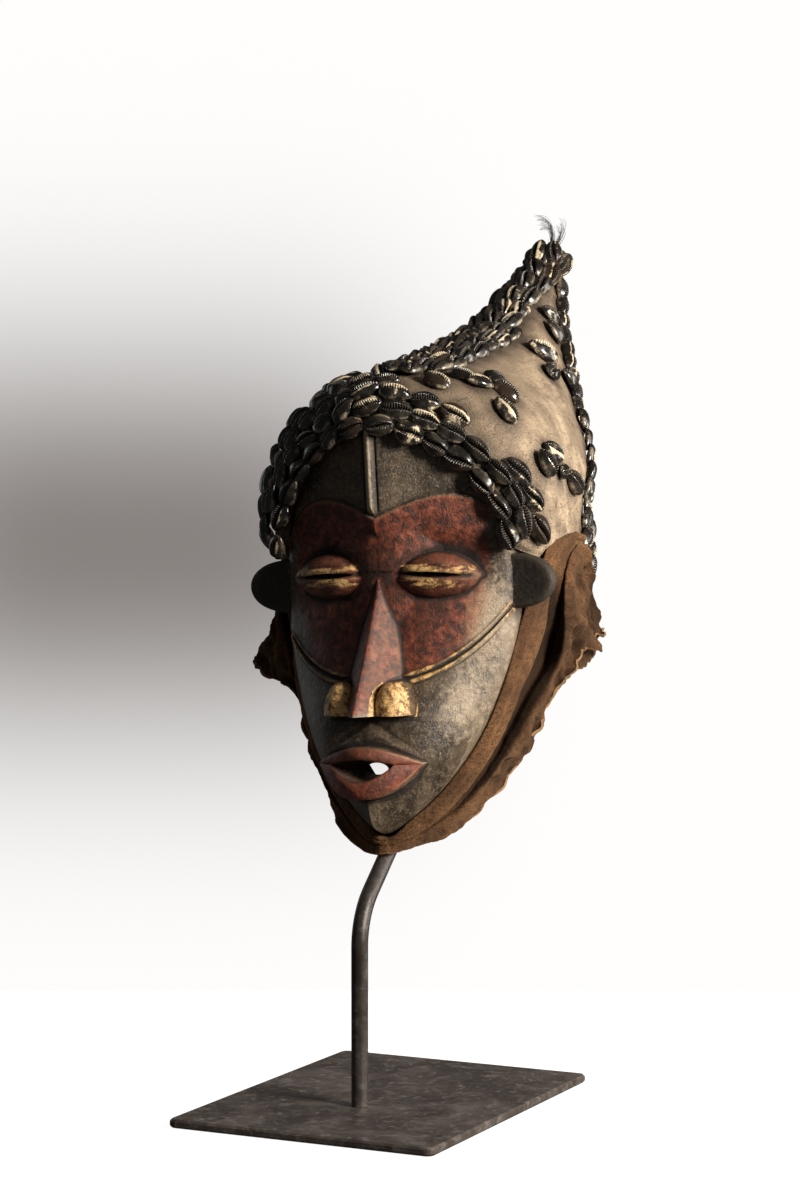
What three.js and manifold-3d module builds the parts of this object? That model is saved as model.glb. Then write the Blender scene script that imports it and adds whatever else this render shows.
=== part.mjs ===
// A carved wooden face mask with a cowrie-trimmed hide hood and a neck cloth,
// held on a bent steel rod with a square foot plate.
// Millimetres, +Z up. The mask looks along -Y. The origin is the middle of the plate's underside.

import * as THREE from 'three';
import { mergeVertices } from 'three/addons/utils/BufferGeometryUtils.js';
import Module from 'manifold-3d';

const wasm = await Module();
wasm.setup();

// Stand
const plateWidth = 170;
const plateDepth = 226;
const plateThickness = 5;
const plateCorner = 4;
const plateBevel = 1.2;
const rodDiameter = 10;
const rodFootY = -33;
const rodStraightTop = 99;
const rodBendRadius = 42;
const rodLean = THREE.MathUtils.degToRad(49);
const stemY = 52;
const stemTop = 352;
const stemBendRadius = 30;
const crossbarDiameter = 8;
const crossbarHalfLength = 71;
const crossbarZ = 345;

// Mask
const maskRoll = THREE.MathUtils.degToRad(2);
const maskPivotZ = 250;
const faceHalfWidth = 75.5;
const faceWidestZ = 310;
const faceChinZ = 163;
const faceCrownZ = 412;
const woodWall = 11;
const rimWidth = 9;
const seatGap = 0.3;

// Hood, cloth and trim
const hideThickness = 2.6;
const hoodLean = 11;
const clothThickness = 2.4;
const cowrieLength = 19.5;
const cowrieWidth = 13.5;
const cowrieHeight = 6.5;

// Small helpers

const clamp01 = (value) => Math.min(1, Math.max(0, value));
const mix = (a, b, t) => a + (b - a) * t;

function smooth(from, to, value) {
  const t = clamp01((value - from) / (to - from));
  return t * t * (3 - 2 * t);
}

function softMin(a, b, blend) {
  const h = clamp01(0.5 + (0.5 * (b - a)) / blend);
  return mix(b, a, h) - blend * h * (1 - h);
}

// A smooth curve through [position, value] pairs
function curveThrough(pairs) {
  const count = pairs.length;
  const slopes = [];
  for (let i = 0; i < count; i += 1) {
    const before = pairs[Math.max(0, i - 1)];
    const after = pairs[Math.min(count - 1, i + 1)];
    slopes.push((after[1] - before[1]) / (after[0] - before[0]));
  }
  return (position) => {
    const at = Math.min(pairs[count - 1][0], Math.max(pairs[0][0], position));
    let i = 0;
    while (i < count - 2 && at > pairs[i + 1][0]) {
      i += 1;
    }
    const span = pairs[i + 1][0] - pairs[i][0];
    const t = (at - pairs[i][0]) / span;
    const a = pairs[i][1];
    const b = pairs[i + 1][1];
    const ta = slopes[i] * span;
    const tb = slopes[i + 1] * span;
    return a + t * (ta + t * (3 * (b - a) - 2 * ta - tb + t * (2 * (a - b) + ta + tb)));
  };
}

// A uniform Catmull-Rom blend of four numbers
function blendFour(p0, p1, p2, p3, t) {
  const a = 2 * p1;
  const b = (p2 - p0) * t;
  const c = (2 * p0 - 5 * p1 + 4 * p2 - p3) * t * t;
  const d = (3 * p1 - p0 - 3 * p2 + p3) * t * t * t;
  return 0.5 * (a + b + c + d);
}

function meshData(vertices, triangles) {
  const geometry = new THREE.BufferGeometry();
  geometry.setAttribute('position', new THREE.Float32BufferAttribute(vertices.flat(), 3));
  geometry.setIndex(triangles.flat());
  return geometry;
}

function toSolid(geometry) {
  const bare = geometry.clone();
  bare.deleteAttribute('normal');
  bare.deleteAttribute('uv');
  const merged = mergeVertices(bare, 1e-4);
  const mesh = new wasm.Mesh({
    numProp: 3,
    vertProperties: new Float32Array(merged.attributes.position.array),
    triVerts: new Uint32Array(merged.index.array),
  });
  return new wasm.Manifold(mesh);
}

function toGeometry(solid) {
  const mesh = solid.getMesh();
  const geometry = new THREE.BufferGeometry();
  geometry.setAttribute('position', new THREE.BufferAttribute(new Float32Array(mesh.vertProperties), 3));
  geometry.setIndex(Array.from(mesh.triVerts));
  return geometry;
}

function joinAll(geometries) {
  return toGeometry(geometries.map(toSolid).reduce((whole, next) => whole.add(next)));
}

function paint(color, roughness, metalness = 0) {
  return new THREE.MeshStandardMaterial({ color, roughness, metalness });
}

const darkWood = paint('#4a3a30', 0.45);
const hide = paint('#8a7660', 0.8);
const shell = paint('#2b2724', 0.35);
const cloth = paint('#6b4a2c', 0.95);
const hair = paint('#1d1a18', 0.7);
const steel = paint('#3b3431', 0.5, 0.8);

function named(name, geometry, material) {
  const flat = geometry.index ? geometry.toNonIndexed() : geometry;
  flat.computeVertexNormals();
  const mesh = new THREE.Mesh(flat, material);
  mesh.name = name;
  return mesh;
}

// Face: half width, depth in the middle and at the edge, all by height

function faceHalf(z) {
  if (z > faceWidestZ) {
    const up = clamp01((z - faceWidestZ) / (faceCrownZ - faceWidestZ));
    return faceHalfWidth * (1 - up ** 2.9) ** 0.5;
  }
  const down = clamp01((faceWidestZ - z) / (faceWidestZ - faceChinZ));
  return faceHalfWidth * (1 - down ** 2.2) ** 0.78;
}

const middleY = curveThrough([
  [163, -7], [167, -17], [173, -23], [184, -26], [200, -24], [218, -23], [234, -20],
  [255, -11.5], [268, -7], [285, -3], [302, 0], [318, 2.5], [332, 3], [345, -2], [358, -4], [405, -6],
]);
const edgeY = curveThrough([
  [163, -7], [171, -6], [190, 2], [218, 10], [250, 16.5], [278, 21], [300, 23], [350, 22], [380, 16], [410, 4],
]);
const sectionPower = curveThrough([
  [163, 1.05], [180, 1.3], [195, 2.6], [207, 4], [225, 3.6], [245, 3], [267, 2.4],
  [302, 2.4], [330, 1.9], [350, 1.35], [405, 1.4],
]);
const rimY = curveThrough([[163, 5], [175, 12], [190, 20], [215, 28], [240, 34], [270, 38], [290, 38], [405, 38]]);

function baseY(x, z) {
  const across = clamp01(Math.abs(x) / Math.max(1, faceHalf(z)));
  return mix(middleY(z), edgeY(z), across ** sectionPower(z));
}

const edgeRound = 6;

function edgeRoll(x, z) {
  const step = 0.5;
  const slope = (faceHalf(z + step) - faceHalf(z - step)) / (2 * step);
  const inside = (faceHalf(z) - Math.abs(x)) / Math.hypot(1, slope);
  const over = clamp01(1 - inside / edgeRound);
  return edgeRound * 0.8 * (1 - Math.sqrt(1 - over * over));
}

// Eyes: domed lids split by a slit

const eyes = [
  { side: 1, x: 34, halfLength: 26 },
  { side: -1, x: 35.5, halfLength: 28 },
];
const eyeZ = 316.5;
const eyeHalfHeight = 14;
const eyeBulge = 13.5;
const slitHalfLength = 18.5;
const slitHalfHeight = 1.7;
const slitDrop = 0.045;

const eyeAt = (x) => (x < 0 ? eyes[1] : eyes[0]);

function slitZ(x) {
  return eyeZ + 0.8 - slitDrop * (Math.abs(x) - eyeAt(x).x);
}

function lidAlong(x) {
  const eye = eyeAt(x);
  return (Math.abs(x) - eye.x) / eye.halfLength;
}

function lidHeight(x) {
  return eyeHalfHeight * Math.max(0, 1 - Math.abs(lidAlong(x)) ** 2.2) ** 0.8;
}

function eyeY(x, z) {
  const along = lidAlong(x);
  const height = lidHeight(x);
  const up = height > 0.2 ? (z - eyeZ) / height : 9;
  const taper = Math.sqrt(Math.max(0, 1 - Math.abs(along) ** 2.2));
  const dome = Math.sqrt(Math.max(0, 1 - up * up)) * taper;
  const seat = mix(4.5, 13, clamp01(0.5 + 0.5 * along));
  return dome > 0 ? seat - eyeBulge * dome : 99;
}

function socketDepth(x, z) {
  const up = (z - eyeZ - 8) / 17;
  return 5 * Math.exp(-((0.85 * lidAlong(x) + 0.1) ** 4)) * Math.exp(-(up * up));
}

// Nose: a straight ridge with sloping sides, a flat underside and domed wings

const noseBottomZ = 235.5;
const noseRidgeY = curveThrough([
  [232, -44.5], [238, -43], [246, -39], [263, -29], [286, -17], [304, -6.5], [313, -1.5], [322, 1], [332, 6],
]);
const noseSideSlope = 1.4;
const noseRidgeRound = 2;
const wing = { x: 16.5, y: -23.5, z: 236, alongX: 11, alongY: 11, alongZ: 20 };

function noseY(x, z) {
  const side = Math.abs(x);
  const ridge = noseRidgeY(z) + noseSideSlope * (Math.hypot(side, noseRidgeRound) - noseRidgeRound);
  const fromWing = ((side - wing.x) / wing.alongX) ** 2 + ((z - wing.z) / wing.alongZ) ** 2;
  const wingY = wing.y - wing.alongY * Math.sqrt(Math.max(0, 1 - fromWing));
  const formed = fromWing < 1 ? softMin(ridge, wingY, 1.5) : ridge;
  const cut = 40 * smooth(noseBottomZ + 0.3, noseBottomZ - 1.3, z);
  const rootFade = 30 * smooth(322, 336, z);
  return formed + cut + rootFade;
}

// Mouth: two full lips around an open lens

const mouthHalf = 34.5;
const mouthCornerZ = 207.5;
const lipTopZ = 217.5;
const lipBottomZ = 186.5;
const openHalf = 20.5;
const openTopZ = 210;
const openBottomZ = 197.5;

function lipEdges(x) {
  const across = clamp01(Math.abs(x) / mouthHalf);
  const open = clamp01(Math.abs(x) / openHalf);
  return {
    top: mix(lipTopZ, mouthCornerZ, across ** 1.9),
    bottom: mix(lipBottomZ, mouthCornerZ, across ** 2.3),
    openTop: mix(openTopZ, mouthCornerZ - 0.5, open ** 2),
    openBottom: mix(openBottomZ, mouthCornerZ - 0.5, open ** 2),
  };
}

function lipY(x, z) {
  const side = Math.abs(x);
  if (side > mouthHalf + 1) {
    return 99;
  }
  const edges = lipEdges(x);
  const across = clamp01(side / mouthHalf);
  const upper = z > (edges.openTop + edges.openBottom) / 2;
  const inner = upper ? edges.openTop : edges.openBottom;
  const outer = upper ? edges.top : edges.bottom;
  const front = upper ? mix(-38, -21.5, across ** 1.8) : mix(-42, -21.5, across ** 1.9);
  const body = (z - inner) / (outer - inner || 1);
  const swell = Math.abs(body - 0.38) / (body > 0.38 ? 0.68 : 0.55);
  const roll = (upper ? 4 : 7) * (1 - 0.55 * across) * (1 - Math.sqrt(Math.max(0, 1 - Math.min(1, swell) ** 2)));
  const beyond = Math.max(z - edges.top, edges.bottom - z, side - mouthHalf);
  return front + roll + 30 * smooth(-0.4, 1.2, beyond);
}

// Carved lines: brow arcs, cheek lines and the ridge down the forehead

const browArc = curveThrough([
  [0, 351], [12, 356.5], [25, 361.5], [38, 364], [50, 363], [60, 358], [68, 349], [74, 336],
]);

function browZ(x) {
  return browArc(Math.abs(x)) - (x < 0 ? 0.035 * Math.abs(x) : 0);
}

function cheekLineZ(x) {
  const rise = x > 0 ? 0.0056 : 0.0034;
  return 253.6 + rise * x ** 2 + 4e-7 * x ** 4;
}

const foreheadRidgeX = -1.8;

function carvedLines(x, z) {
  const side = Math.abs(x);
  const brow = -1.4 * smooth(browZ(x) + 1.2, browZ(x) - 0.6, z) * smooth(322, 346, z);
  const slope = 0.008 * side;
  const fromLine = (z - cheekLineZ(x)) / Math.hypot(1, slope);
  const onCheek = smooth(13, 19, side);
  const lower = -1.7 * Math.exp(-(((fromLine + 1.8) / 1.5) ** 2));
  const upper = -1.1 * Math.exp(-(((fromLine - 2.6) / 1.2) ** 2));
  const groove = 0.7 * Math.exp(-(((fromLine - 0.4) / 1.1) ** 2));
  const ridge = -2.8 * Math.exp(-(((x - foreheadRidgeX) / 2.6) ** 4)) * smooth(352, 359, z);
  return brow + onCheek * (lower + upper + groove) + ridge;
}

function faceY(x, z) {
  let y = baseY(x, z) + socketDepth(x, z) * smooth(298, 306, z);
  y += carvedLines(x, z);
  y = softMin(y, noseY(x, z), 1.2);
  y = softMin(y, eyeY(x, z), 0.8);
  y = softMin(y, lipY(x, z), 0.8);
  return y + edgeRoll(x, z);
}

// Heights that the rows of the front surface pass through at a given x: they follow the lips, the
// underside of the nose, the cheek line, the lids and the brow, so that each edge is crisp
function faceLevels(x) {
  const lips = lipEdges(x);
  const parting = (lips.openTop + lips.openBottom) / 2;
  const lid = Math.max(2.2, 1.04 * lidHeight(x));
  return [
    faceChinZ + 0.4,
    Math.min(lips.bottom - 1.2, parting - 3.6),
    Math.min(lips.bottom + 0.4, parting - 2.4),
    Math.min(lips.openBottom, parting - 0.8),
    Math.max(lips.openTop, parting + 0.8),
    Math.max(lips.top - 0.4, parting + 2.4),
    Math.max(lips.top + 1.2, parting + 3.6),
    noseBottomZ - 1.3,
    noseBottomZ + 0.3,
    cheekLineZ(x) - 4,
    cheekLineZ(x) + 4.5,
    eyeZ - lid,
    eyeZ,
    eyeZ + lid,
    browZ(x) - 0.6,
    browZ(x) + 1.2,
    faceCrownZ - 0.3,
  ];
}
const rowsBetweenLevels = [4, 1, 2, 1, 2, 1, 2, 1, 2, 3, 3, 3, 3, 2, 1, 4];

// Columns of the front surface, from the middle to the edge, pass through these places at these heights
const eyeStops = (half) => [0, 2.4, 8, 61, half];
const mouthStops = (half) => [0, openHalf, mouthHalf, mouthHalf + 1.2, half];
const columnPlans = [
  { z: 163, stops: (half) => [0, 0.15 * half, half], counts: [1, 11] },
  { z: 180, stops: mouthStops, counts: [4, 3, 1, 4] },
  { z: 222, stops: mouthStops, counts: [4, 3, 1, 4] },
  { z: 233, stops: (half) => [0, 2.4, 28, 29.5, half], counts: [1, 6, 1, 4] },
  { z: 250, stops: (half) => [0, 2.4, 24, 26, half], counts: [1, 5, 1, 5] },
  { z: 268, stops: (half) => [0, 2.4, 15, half], counts: [1, 3, 8] },
  { z: 300, stops: eyeStops, counts: [1, 1, 7, 3] },
  { z: 336, stops: eyeStops, counts: [1, 1, 7, 3] },
  { z: 356, stops: (half) => [0, 4.5, half], counts: [3, 9] },
];

function planColumns(plan, half) {
  const stops = plan.stops(half);
  const places = [0];
  plan.counts.forEach((count, i) => {
    for (let step = 1; step <= count; step += 1) {
      places.push(mix(stops[i], stops[i + 1], step / count));
    }
  });
  return places;
}

function columnsAt(z, half) {
  let i = 0;
  while (i < columnPlans.length - 2 && z > columnPlans[i + 1].z) {
    i += 1;
  }
  const t = smooth(columnPlans[i].z, columnPlans[i + 1].z, z);
  const before = planColumns(columnPlans[i], half);
  const after = planColumns(columnPlans[i + 1], half);
  const columns = before.map((x, column) => mix(x, after[column], t));
  const last = columns.length - 1;
  return columns.map((x, column) => Math.min(x, half * (1 - 0.02 * (last - column))));
}

// Rows of [x, z] points across the face, each ending on the face's outline
function faceGrid() {
  const rows = [];
  const addRow = (level, share) => {
    const heightAt = (x) => {
      const levels = faceLevels(x);
      return mix(levels[level], levels[level + 1], share);
    };
    const edgeOn = (side) => {
      let near = 0;
      let far = faceHalfWidth;
      for (let i = 0; i < 40; i += 1) {
        const middle = (near + far) / 2;
        if (middle < faceHalf(heightAt(side * middle))) {
          near = middle;
        } else {
          far = middle;
        }
      }
      return near;
    };
    const side = (sign) => columnsAt(heightAt(0), edgeOn(sign)).map((x) => [sign * x, heightAt(sign * x)]);
    rows.push([...side(-1).slice(1).reverse(), ...side(1)]);
  };
  rowsBetweenLevels.forEach((count, level) => {
    for (let step = 0; step < count; step += 1) {
      addRow(level, step / count);
    }
  });
  addRow(rowsBetweenLevels.length - 1, 1);
  return rows;
}

// A closed block: a front surface over rows of [x, z] points, closed by straight strips behind
function reliefBlock(rows, frontY, backY) {
  const vertices = [];
  const triangles = [];
  const width = rows[0].length;
  const middle = (width - 1) / 2;
  for (const row of rows) {
    for (const [x, z] of row) {
      vertices.push([x, frontY(x, z), z]);
    }
  }
  const backStart = vertices.length;
  for (const row of rows) {
    for (const [x, z] of [row[0], row[width - 1]]) {
      vertices.push([x, backY(z), z]);
    }
  }
  const front = (row, column) => row * width + column;
  const back = (row, side) => backStart + row * 2 + side;
  for (let row = 0; row < rows.length - 1; row += 1) {
    for (let column = 0; column < width - 1; column += 1) {
      const a = front(row, column);
      const b = front(row, column + 1);
      const c = front(row + 1, column + 1);
      const d = front(row + 1, column);
      triangles.push(...(column >= middle ? [[a, b, c], [a, c, d]] : [[a, b, d], [b, c, d]]));
    }
    const last = width - 1;
    triangles.push([front(row, last), back(row, 1), back(row + 1, 1)]);
    triangles.push([front(row, last), back(row + 1, 1), front(row + 1, last)]);
    triangles.push([back(row, 0), front(row, 0), front(row + 1, 0)]);
    triangles.push([back(row, 0), front(row + 1, 0), back(row + 1, 0)]);
    triangles.push([back(row, 1), back(row, 0), back(row + 1, 0)]);
    triangles.push([back(row, 1), back(row + 1, 0), back(row + 1, 1)]);
  }
  const top = rows.length - 1;
  for (let column = 0; column < width - 1; column += 1) {
    const nearBack = column < middle ? 0 : 1;
    triangles.push([front(0, column + 1), front(0, column), back(0, nearBack)]);
    triangles.push([front(top, column), front(top, column + 1), back(top, nearBack)]);
  }
  triangles.push([front(0, middle), back(0, 0), back(0, 1)]);
  triangles.push([back(top, 0), front(top, middle), back(top, 1)]);
  return meshData(vertices, triangles);
}

// The hollow behind the face follows the outside, a wall's thickness in
const hollowLowZ = 176;
const hollowHighZ = 400;
const hollowBackY = 70;

function hollowBlock() {
  const halfAt = (z) => {
    const taper = 9 * smooth(224, 186, z) + 4 * smooth(380, hollowHighZ, z);
    return Math.max(4, faceHalf(z) - rimWidth - taper);
  };
  const shares = [-1, -0.85, -0.6, -0.3, 0, 0.3, 0.6, 0.85, 1];
  const levels = 14;
  const rows = Array.from({ length: levels }, (_, i) => {
    const z = mix(hollowLowZ, hollowHighZ, i / (levels - 1));
    return shares.map((share) => [share * halfAt(z), z]);
  });
  const wallY = (x, z) => {
    const spread = (x * faceHalf(z)) / halfAt(z);
    const overEye = 3 * Math.exp(-(lidAlong(x) ** 4)) * Math.exp(-(((z - 326) / 16) ** 2));
    return Math.min(rimY(z) - 1, baseY(spread * 0.94, z) + woodWall + overEye);
  };
  return reliefBlock(rows, wallY, () => hollowBackY);
}

// A flat-ended prism through the wood, drawn in X and Z and cut along Y
function prismAlongY(outline, fromY, toY) {
  const shape = new THREE.Shape(outline.map(([x, z]) => new THREE.Vector2(x, z)));
  const geometry = new THREE.ExtrudeGeometry(shape, { depth: toY - fromY, bevelEnabled: false });
  geometry.rotateX(Math.PI / 2);
  geometry.translate(0, toY, 0);
  return geometry;
}

function lens(centreX, halfLength, topZ, bottomZ, steps) {
  const points = [];
  for (let i = 0; i < 2 * steps; i += 1) {
    const lowerSide = i < steps;
    const along = lowerSide ? -1 + (2 * i) / steps : 1 - (2 * (i - steps)) / steps;
    const x = centreX + along * halfLength;
    points.push([x, lowerSide ? bottomZ(x, along) : topZ(x, along)]);
  }
  return points;
}

function eyeSlit(side) {
  const swell = (along) => slitHalfHeight * (1 - along ** 2) ** 0.7;
  const outline = lens(
    side * eyeAt(side).x,
    slitHalfLength,
    (x, along) => slitZ(x) + swell(along),
    (x, along) => slitZ(x) - swell(along),
    8,
  );
  return prismAlongY(outline, -40, 60);
}

function mouthHole() {
  const outline = lens(0, openHalf, (x) => lipEdges(x).openTop, (x) => lipEdges(x).openBottom, 12);
  return prismAlongY(outline, -60, 60);
}

// Ear lug: a thick half disc standing out from the temple
const ear = {
  innerX: 70,
  outerX: 100.5,
  leftExtra: 3,
  frontY: 24.5,
  thickness: 8.5,
  z: 311,
  halfHeight: 16.5,
  round: 3,
};

function earLug(side) {
  const lift = side > 0 ? 1 : 0;
  const tall = ear.halfHeight - ear.round;
  const outerX = ear.outerX + (side < 0 ? ear.leftExtra : 0);
  const reach = outerX - ear.innerX - ear.round;
  const steps = 9;
  const points = [];
  for (let i = 0; i <= steps; i += 1) {
    const angle = mix(-Math.PI / 2, Math.PI / 2, i / steps);
    const out = Math.cos(angle) ** 0.75;
    points.push(new THREE.Vector2(ear.innerX + reach * out, tall * Math.sin(angle)));
  }
  const geometry = new THREE.ExtrudeGeometry(new THREE.Shape(points), {
    depth: ear.thickness - 2 * ear.round,
    bevelThickness: ear.round,
    bevelSize: ear.round,
    bevelSegments: 2,
  });
  geometry.rotateX(Math.PI / 2);
  geometry.translate(0, ear.frontY + ear.thickness - ear.round, ear.z + lift);
  if (side < 0) {
    geometry.rotateZ(Math.PI);
    geometry.translate(0, 2 * ear.frontY + ear.thickness, 0);
  }
  return geometry;
}

function faceMask() {
  let solid = toSolid(reliefBlock(faceGrid(), faceY, rimY));
  solid = solid.add(toSolid(earLug(1))).add(toSolid(earLug(-1)));
  solid = solid.subtract(toSolid(hollowBlock()));
  solid = solid.subtract(toSolid(eyeSlit(1))).subtract(toSolid(eyeSlit(-1)));
  solid = solid.subtract(toSolid(mouthHole()));
  return named('face_mask', toGeometry(solid), darkWood);
}

// Hood: hide drawn from the mask's face edge and its own lower edge to a leaning tip.
// Each line runs from the edge to the tip, as [x, y, z]; lines go from the crest round to the back.
const hoodLines = [
  [[0, -11, 404], [0, -8.5, 419], [0, 9, 434.5], [0, 64, 445.5], [0, 150, 467.5], [0, 201, 495], [0, 245, 524]],
  [[44, 3.5, 387], [51, 7, 400], [57, 26, 421.5], [47, 82, 436.5], [29, 158, 462], [13, 207, 493], [5, 246, 524]],
  [[67.5, 14.5, 358], [78, 19, 365], [88, 44, 386], [73, 102, 412], [42, 168, 446], [18, 214, 487], [7, 248, 521.5]],
  [[74, 19, 335], [83, 25, 337], [90, 50, 345], [80, 122, 378], [49, 177, 424], [21, 221, 477], [7.5, 251, 519]],
  [[84, 44, 325], [87, 48, 329], [89, 66, 340], [77, 132, 375], [48, 183, 423], [19, 225, 477], [7, 253, 518]],
  [[86, 76, 319], [86.5, 84, 326], [85.5, 98, 337], [73, 139, 372], [46, 187, 423], [18, 228, 476], [6.5, 254, 517]],
  [[78, 127, 308], [74, 133, 320], [68, 145, 345], [52, 169, 386], [34, 196, 433], [16, 227, 480], [4.5, 256, 515.5]],
  [[0, 164, 290], [0, 168, 305], [0, 177, 340], [0, 192, 384], [0, 210, 432], [0, 233, 480], [0, 257, 515]],
];
const hoodSteps = hoodLines[0].length - 1;
const hoodBack = hoodLines.length - 1;

// Line number may pass either end: the hood is even about its crest and its back
function hoodLinePoint(line, at) {
  const folded = line < 0 ? -line : line > hoodBack ? 2 * hoodBack - line : line;
  const side = line < 0 || line > hoodBack ? -1 : 1;
  const points = hoodLines[folded];
  const i = Math.min(hoodSteps - 1, Math.floor(at));
  const t = at - i;
  const pick = (index, axis) => {
    if (index < 0) {
      return 2 * points[0][axis] - points[1][axis];
    }
    if (index > hoodSteps) {
      return 2 * points[hoodSteps][axis] - points[hoodSteps - 1][axis];
    }
    return points[index][axis];
  };
  const value = (axis) => blendFour(pick(i - 1, axis), pick(i, axis), pick(i + 1, axis), pick(i + 2, axis), t);
  return [side * value(0), value(1), value(2)];
}

// A point of the hood's outside: up runs from 0 at the edge to 1 at the tip,
// round runs from 0 at the crest to 7 at the back, negative on the -X side
function hoodPoint(up, round) {
  const side = round < 0 ? -1 : 1;
  const at = clamp01(up) * hoodSteps;
  const place = Math.abs(round);
  const i = Math.min(hoodBack - 1, Math.floor(place));
  const near = [i - 1, i, i + 1, i + 2].map((line) => hoodLinePoint(line, at));
  const value = (axis) => blendFour(near[0][axis], near[1][axis], near[2][axis], near[3][axis], place - i);
  return new THREE.Vector3(side * value(0) + hoodLean * clamp01(up) ** 2, value(1), value(2));
}

function hoodNormal(up, round) {
  const step = 0.01;
  const high = Math.min(1, up + step);
  const low = Math.max(0, up - step);
  const alongUp = hoodPoint(high, round).sub(hoodPoint(low, round));
  const alongRound = hoodPoint(up, round + step).sub(hoodPoint(up, round - step));
  return alongRound.cross(alongUp).normalize();
}

const hoodRows = 11;
const hoodColumns = 20;

function hideHood() {
  const vertices = [];
  const triangles = [];
  const round = (column) => mix(-hoodBack, hoodBack, column / hoodColumns);
  const outerUp = (row) => row / hoodRows;
  const innerUp = (row) => (0.94 * row) / hoodRows;
  for (let row = 0; row <= hoodRows; row += 1) {
    for (let column = 0; column < hoodColumns; column += 1) {
      vertices.push(hoodPoint(outerUp(row), round(column)).toArray());
    }
  }
  const innerStart = vertices.length;
  for (let row = 0; row <= hoodRows; row += 1) {
    for (let column = 0; column < hoodColumns; column += 1) {
      const at = hoodPoint(innerUp(row), round(column));
      at.addScaledVector(hoodNormal(innerUp(row), round(column)), -hideThickness);
      vertices.push(at.toArray());
    }
  }
  const outer = (row, column) => row * hoodColumns + (column % hoodColumns);
  const inner = (row, column) => innerStart + row * hoodColumns + (column % hoodColumns);
  for (let column = 0; column < hoodColumns; column += 1) {
    for (let row = 0; row < hoodRows; row += 1) {
      const a = outer(row, column);
      const b = outer(row, column + 1);
      const c = outer(row + 1, column + 1);
      const d = outer(row + 1, column);
      triangles.push([a, b, c], [a, c, d]);
      const e = inner(row, column);
      const f = inner(row, column + 1);
      const g = inner(row + 1, column + 1);
      const h = inner(row + 1, column);
      triangles.push([e, g, f], [e, h, g]);
    }
    const start = outer(0, column);
    const next = outer(0, column + 1);
    const startIn = inner(0, column);
    const nextIn = inner(0, column + 1);
    triangles.push([start, nextIn, next], [start, startIn, nextIn]);
  }
  const centre = (start) => {
    const sum = new THREE.Vector3();
    for (let column = 0; column < hoodColumns; column += 1) {
      sum.add(new THREE.Vector3(...vertices[start + column]));
    }
    return sum.divideScalar(hoodColumns);
  };
  const outerTip = vertices.length;
  vertices.push(centre(outer(hoodRows, 0)).add(new THREE.Vector3(0, 1.5, 4)).toArray());
  vertices.push(centre(inner(hoodRows, 0)).toArray());
  for (let column = 0; column < hoodColumns; column += 1) {
    triangles.push([outer(hoodRows, column), outer(hoodRows, column + 1), outerTip]);
    triangles.push([inner(hoodRows, column + 1), inner(hoodRows, column), outerTip + 1]);
  }
  return named('hide_hood', meshData(vertices, triangles), hide);
}

// Cowrie shell: a low dome with a flat back, long along its own first axis
function cowrie(centre, normal, along, scale = 1) {
  const first = along.clone().addScaledVector(normal, -along.dot(normal)).normalize();
  const second = normal.clone().cross(first);
  const place = (a, b, c) => {
    const at = centre.clone().addScaledVector(first, a * cowrieLength * scale);
    return at.addScaledVector(second, b * cowrieWidth * scale).addScaledVector(normal, c * scale).toArray();
  };
  const vertices = [
    place(0.5, 0.28, 0), place(0, 0.5, 0), place(-0.5, 0.28, 0),
    place(-0.5, -0.28, 0), place(0, -0.5, 0), place(0.5, -0.28, 0),
    place(0.22, 0, cowrieHeight), place(-0.22, 0, cowrieHeight),
  ];
  const triangles = [
    [0, 2, 1], [0, 3, 2], [0, 4, 3], [0, 5, 4],
    [5, 0, 6], [0, 1, 6], [1, 7, 6], [1, 2, 7], [2, 3, 7], [3, 4, 7], [4, 6, 7], [4, 5, 6],
  ];
  return meshData(vertices, triangles);
}

// Shells sit just clear of the hide, the wood and the cloth
const shellBed = { solid: null };
const liftStep = 0.3;
let laidShells = null;

const takeShells = (solid) => {
  laidShells = laidShells ? laidShells.add(solid) : solid;
};

function towardsTip(up, round) {
  return hoodPoint(Math.min(1, up + 0.01), round).sub(hoodPoint(Math.max(0, up - 0.01), round)).normalize();
}

function shellAt(up, round, turn, scale) {
  const normal = hoodNormal(up, round);
  const along = towardsTip(up, round).applyAxisAngle(normal, turn);
  const raised = (lift) => {
    return toSolid(cowrie(hoodPoint(up, round).addScaledVector(normal, lift), normal, along, scale));
  };
  let lift = liftStep;
  while (!shellBed.solid.intersect(raised(lift)).isEmpty()) {
    lift += liftStep;
  }
  return raised(lift + liftStep);
}

// A repeatable scatter between -1 and 1
function scatter(seed) {
  const value = Math.sin(seed * 127.1 + 11.7) * 43758.5453;
  return 2 * (value - Math.floor(value)) - 1;
}

// How far up a line to go for a given distance from the hood's edge
function upForDistance(round, distance) {
  const step = 0.004;
  let up = 0;
  let run = 0;
  let last = hoodPoint(0, round);
  while (run < distance && up < 1) {
    up += step;
    const next = hoodPoint(up, round);
    run += next.distanceTo(last);
    last = next;
  }
  return up;
}

// How far round to go for a sideways distance from a line, measured square to the line towards the tip
function roundForOffset(up, startRound, offset) {
  const step = 0.02 * Math.sign(offset);
  let round = startRound;
  let run = 0;
  let last = hoodPoint(up, round);
  while (run < Math.abs(offset) && Math.abs(round) < hoodBack) {
    round += step;
    const next = hoodPoint(up, round);
    const move = next.clone().sub(last);
    const ahead = towardsTip(up, round);
    run += move.addScaledVector(ahead, -move.dot(ahead)).length();
    last = next;
  }
  return round;
}

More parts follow.
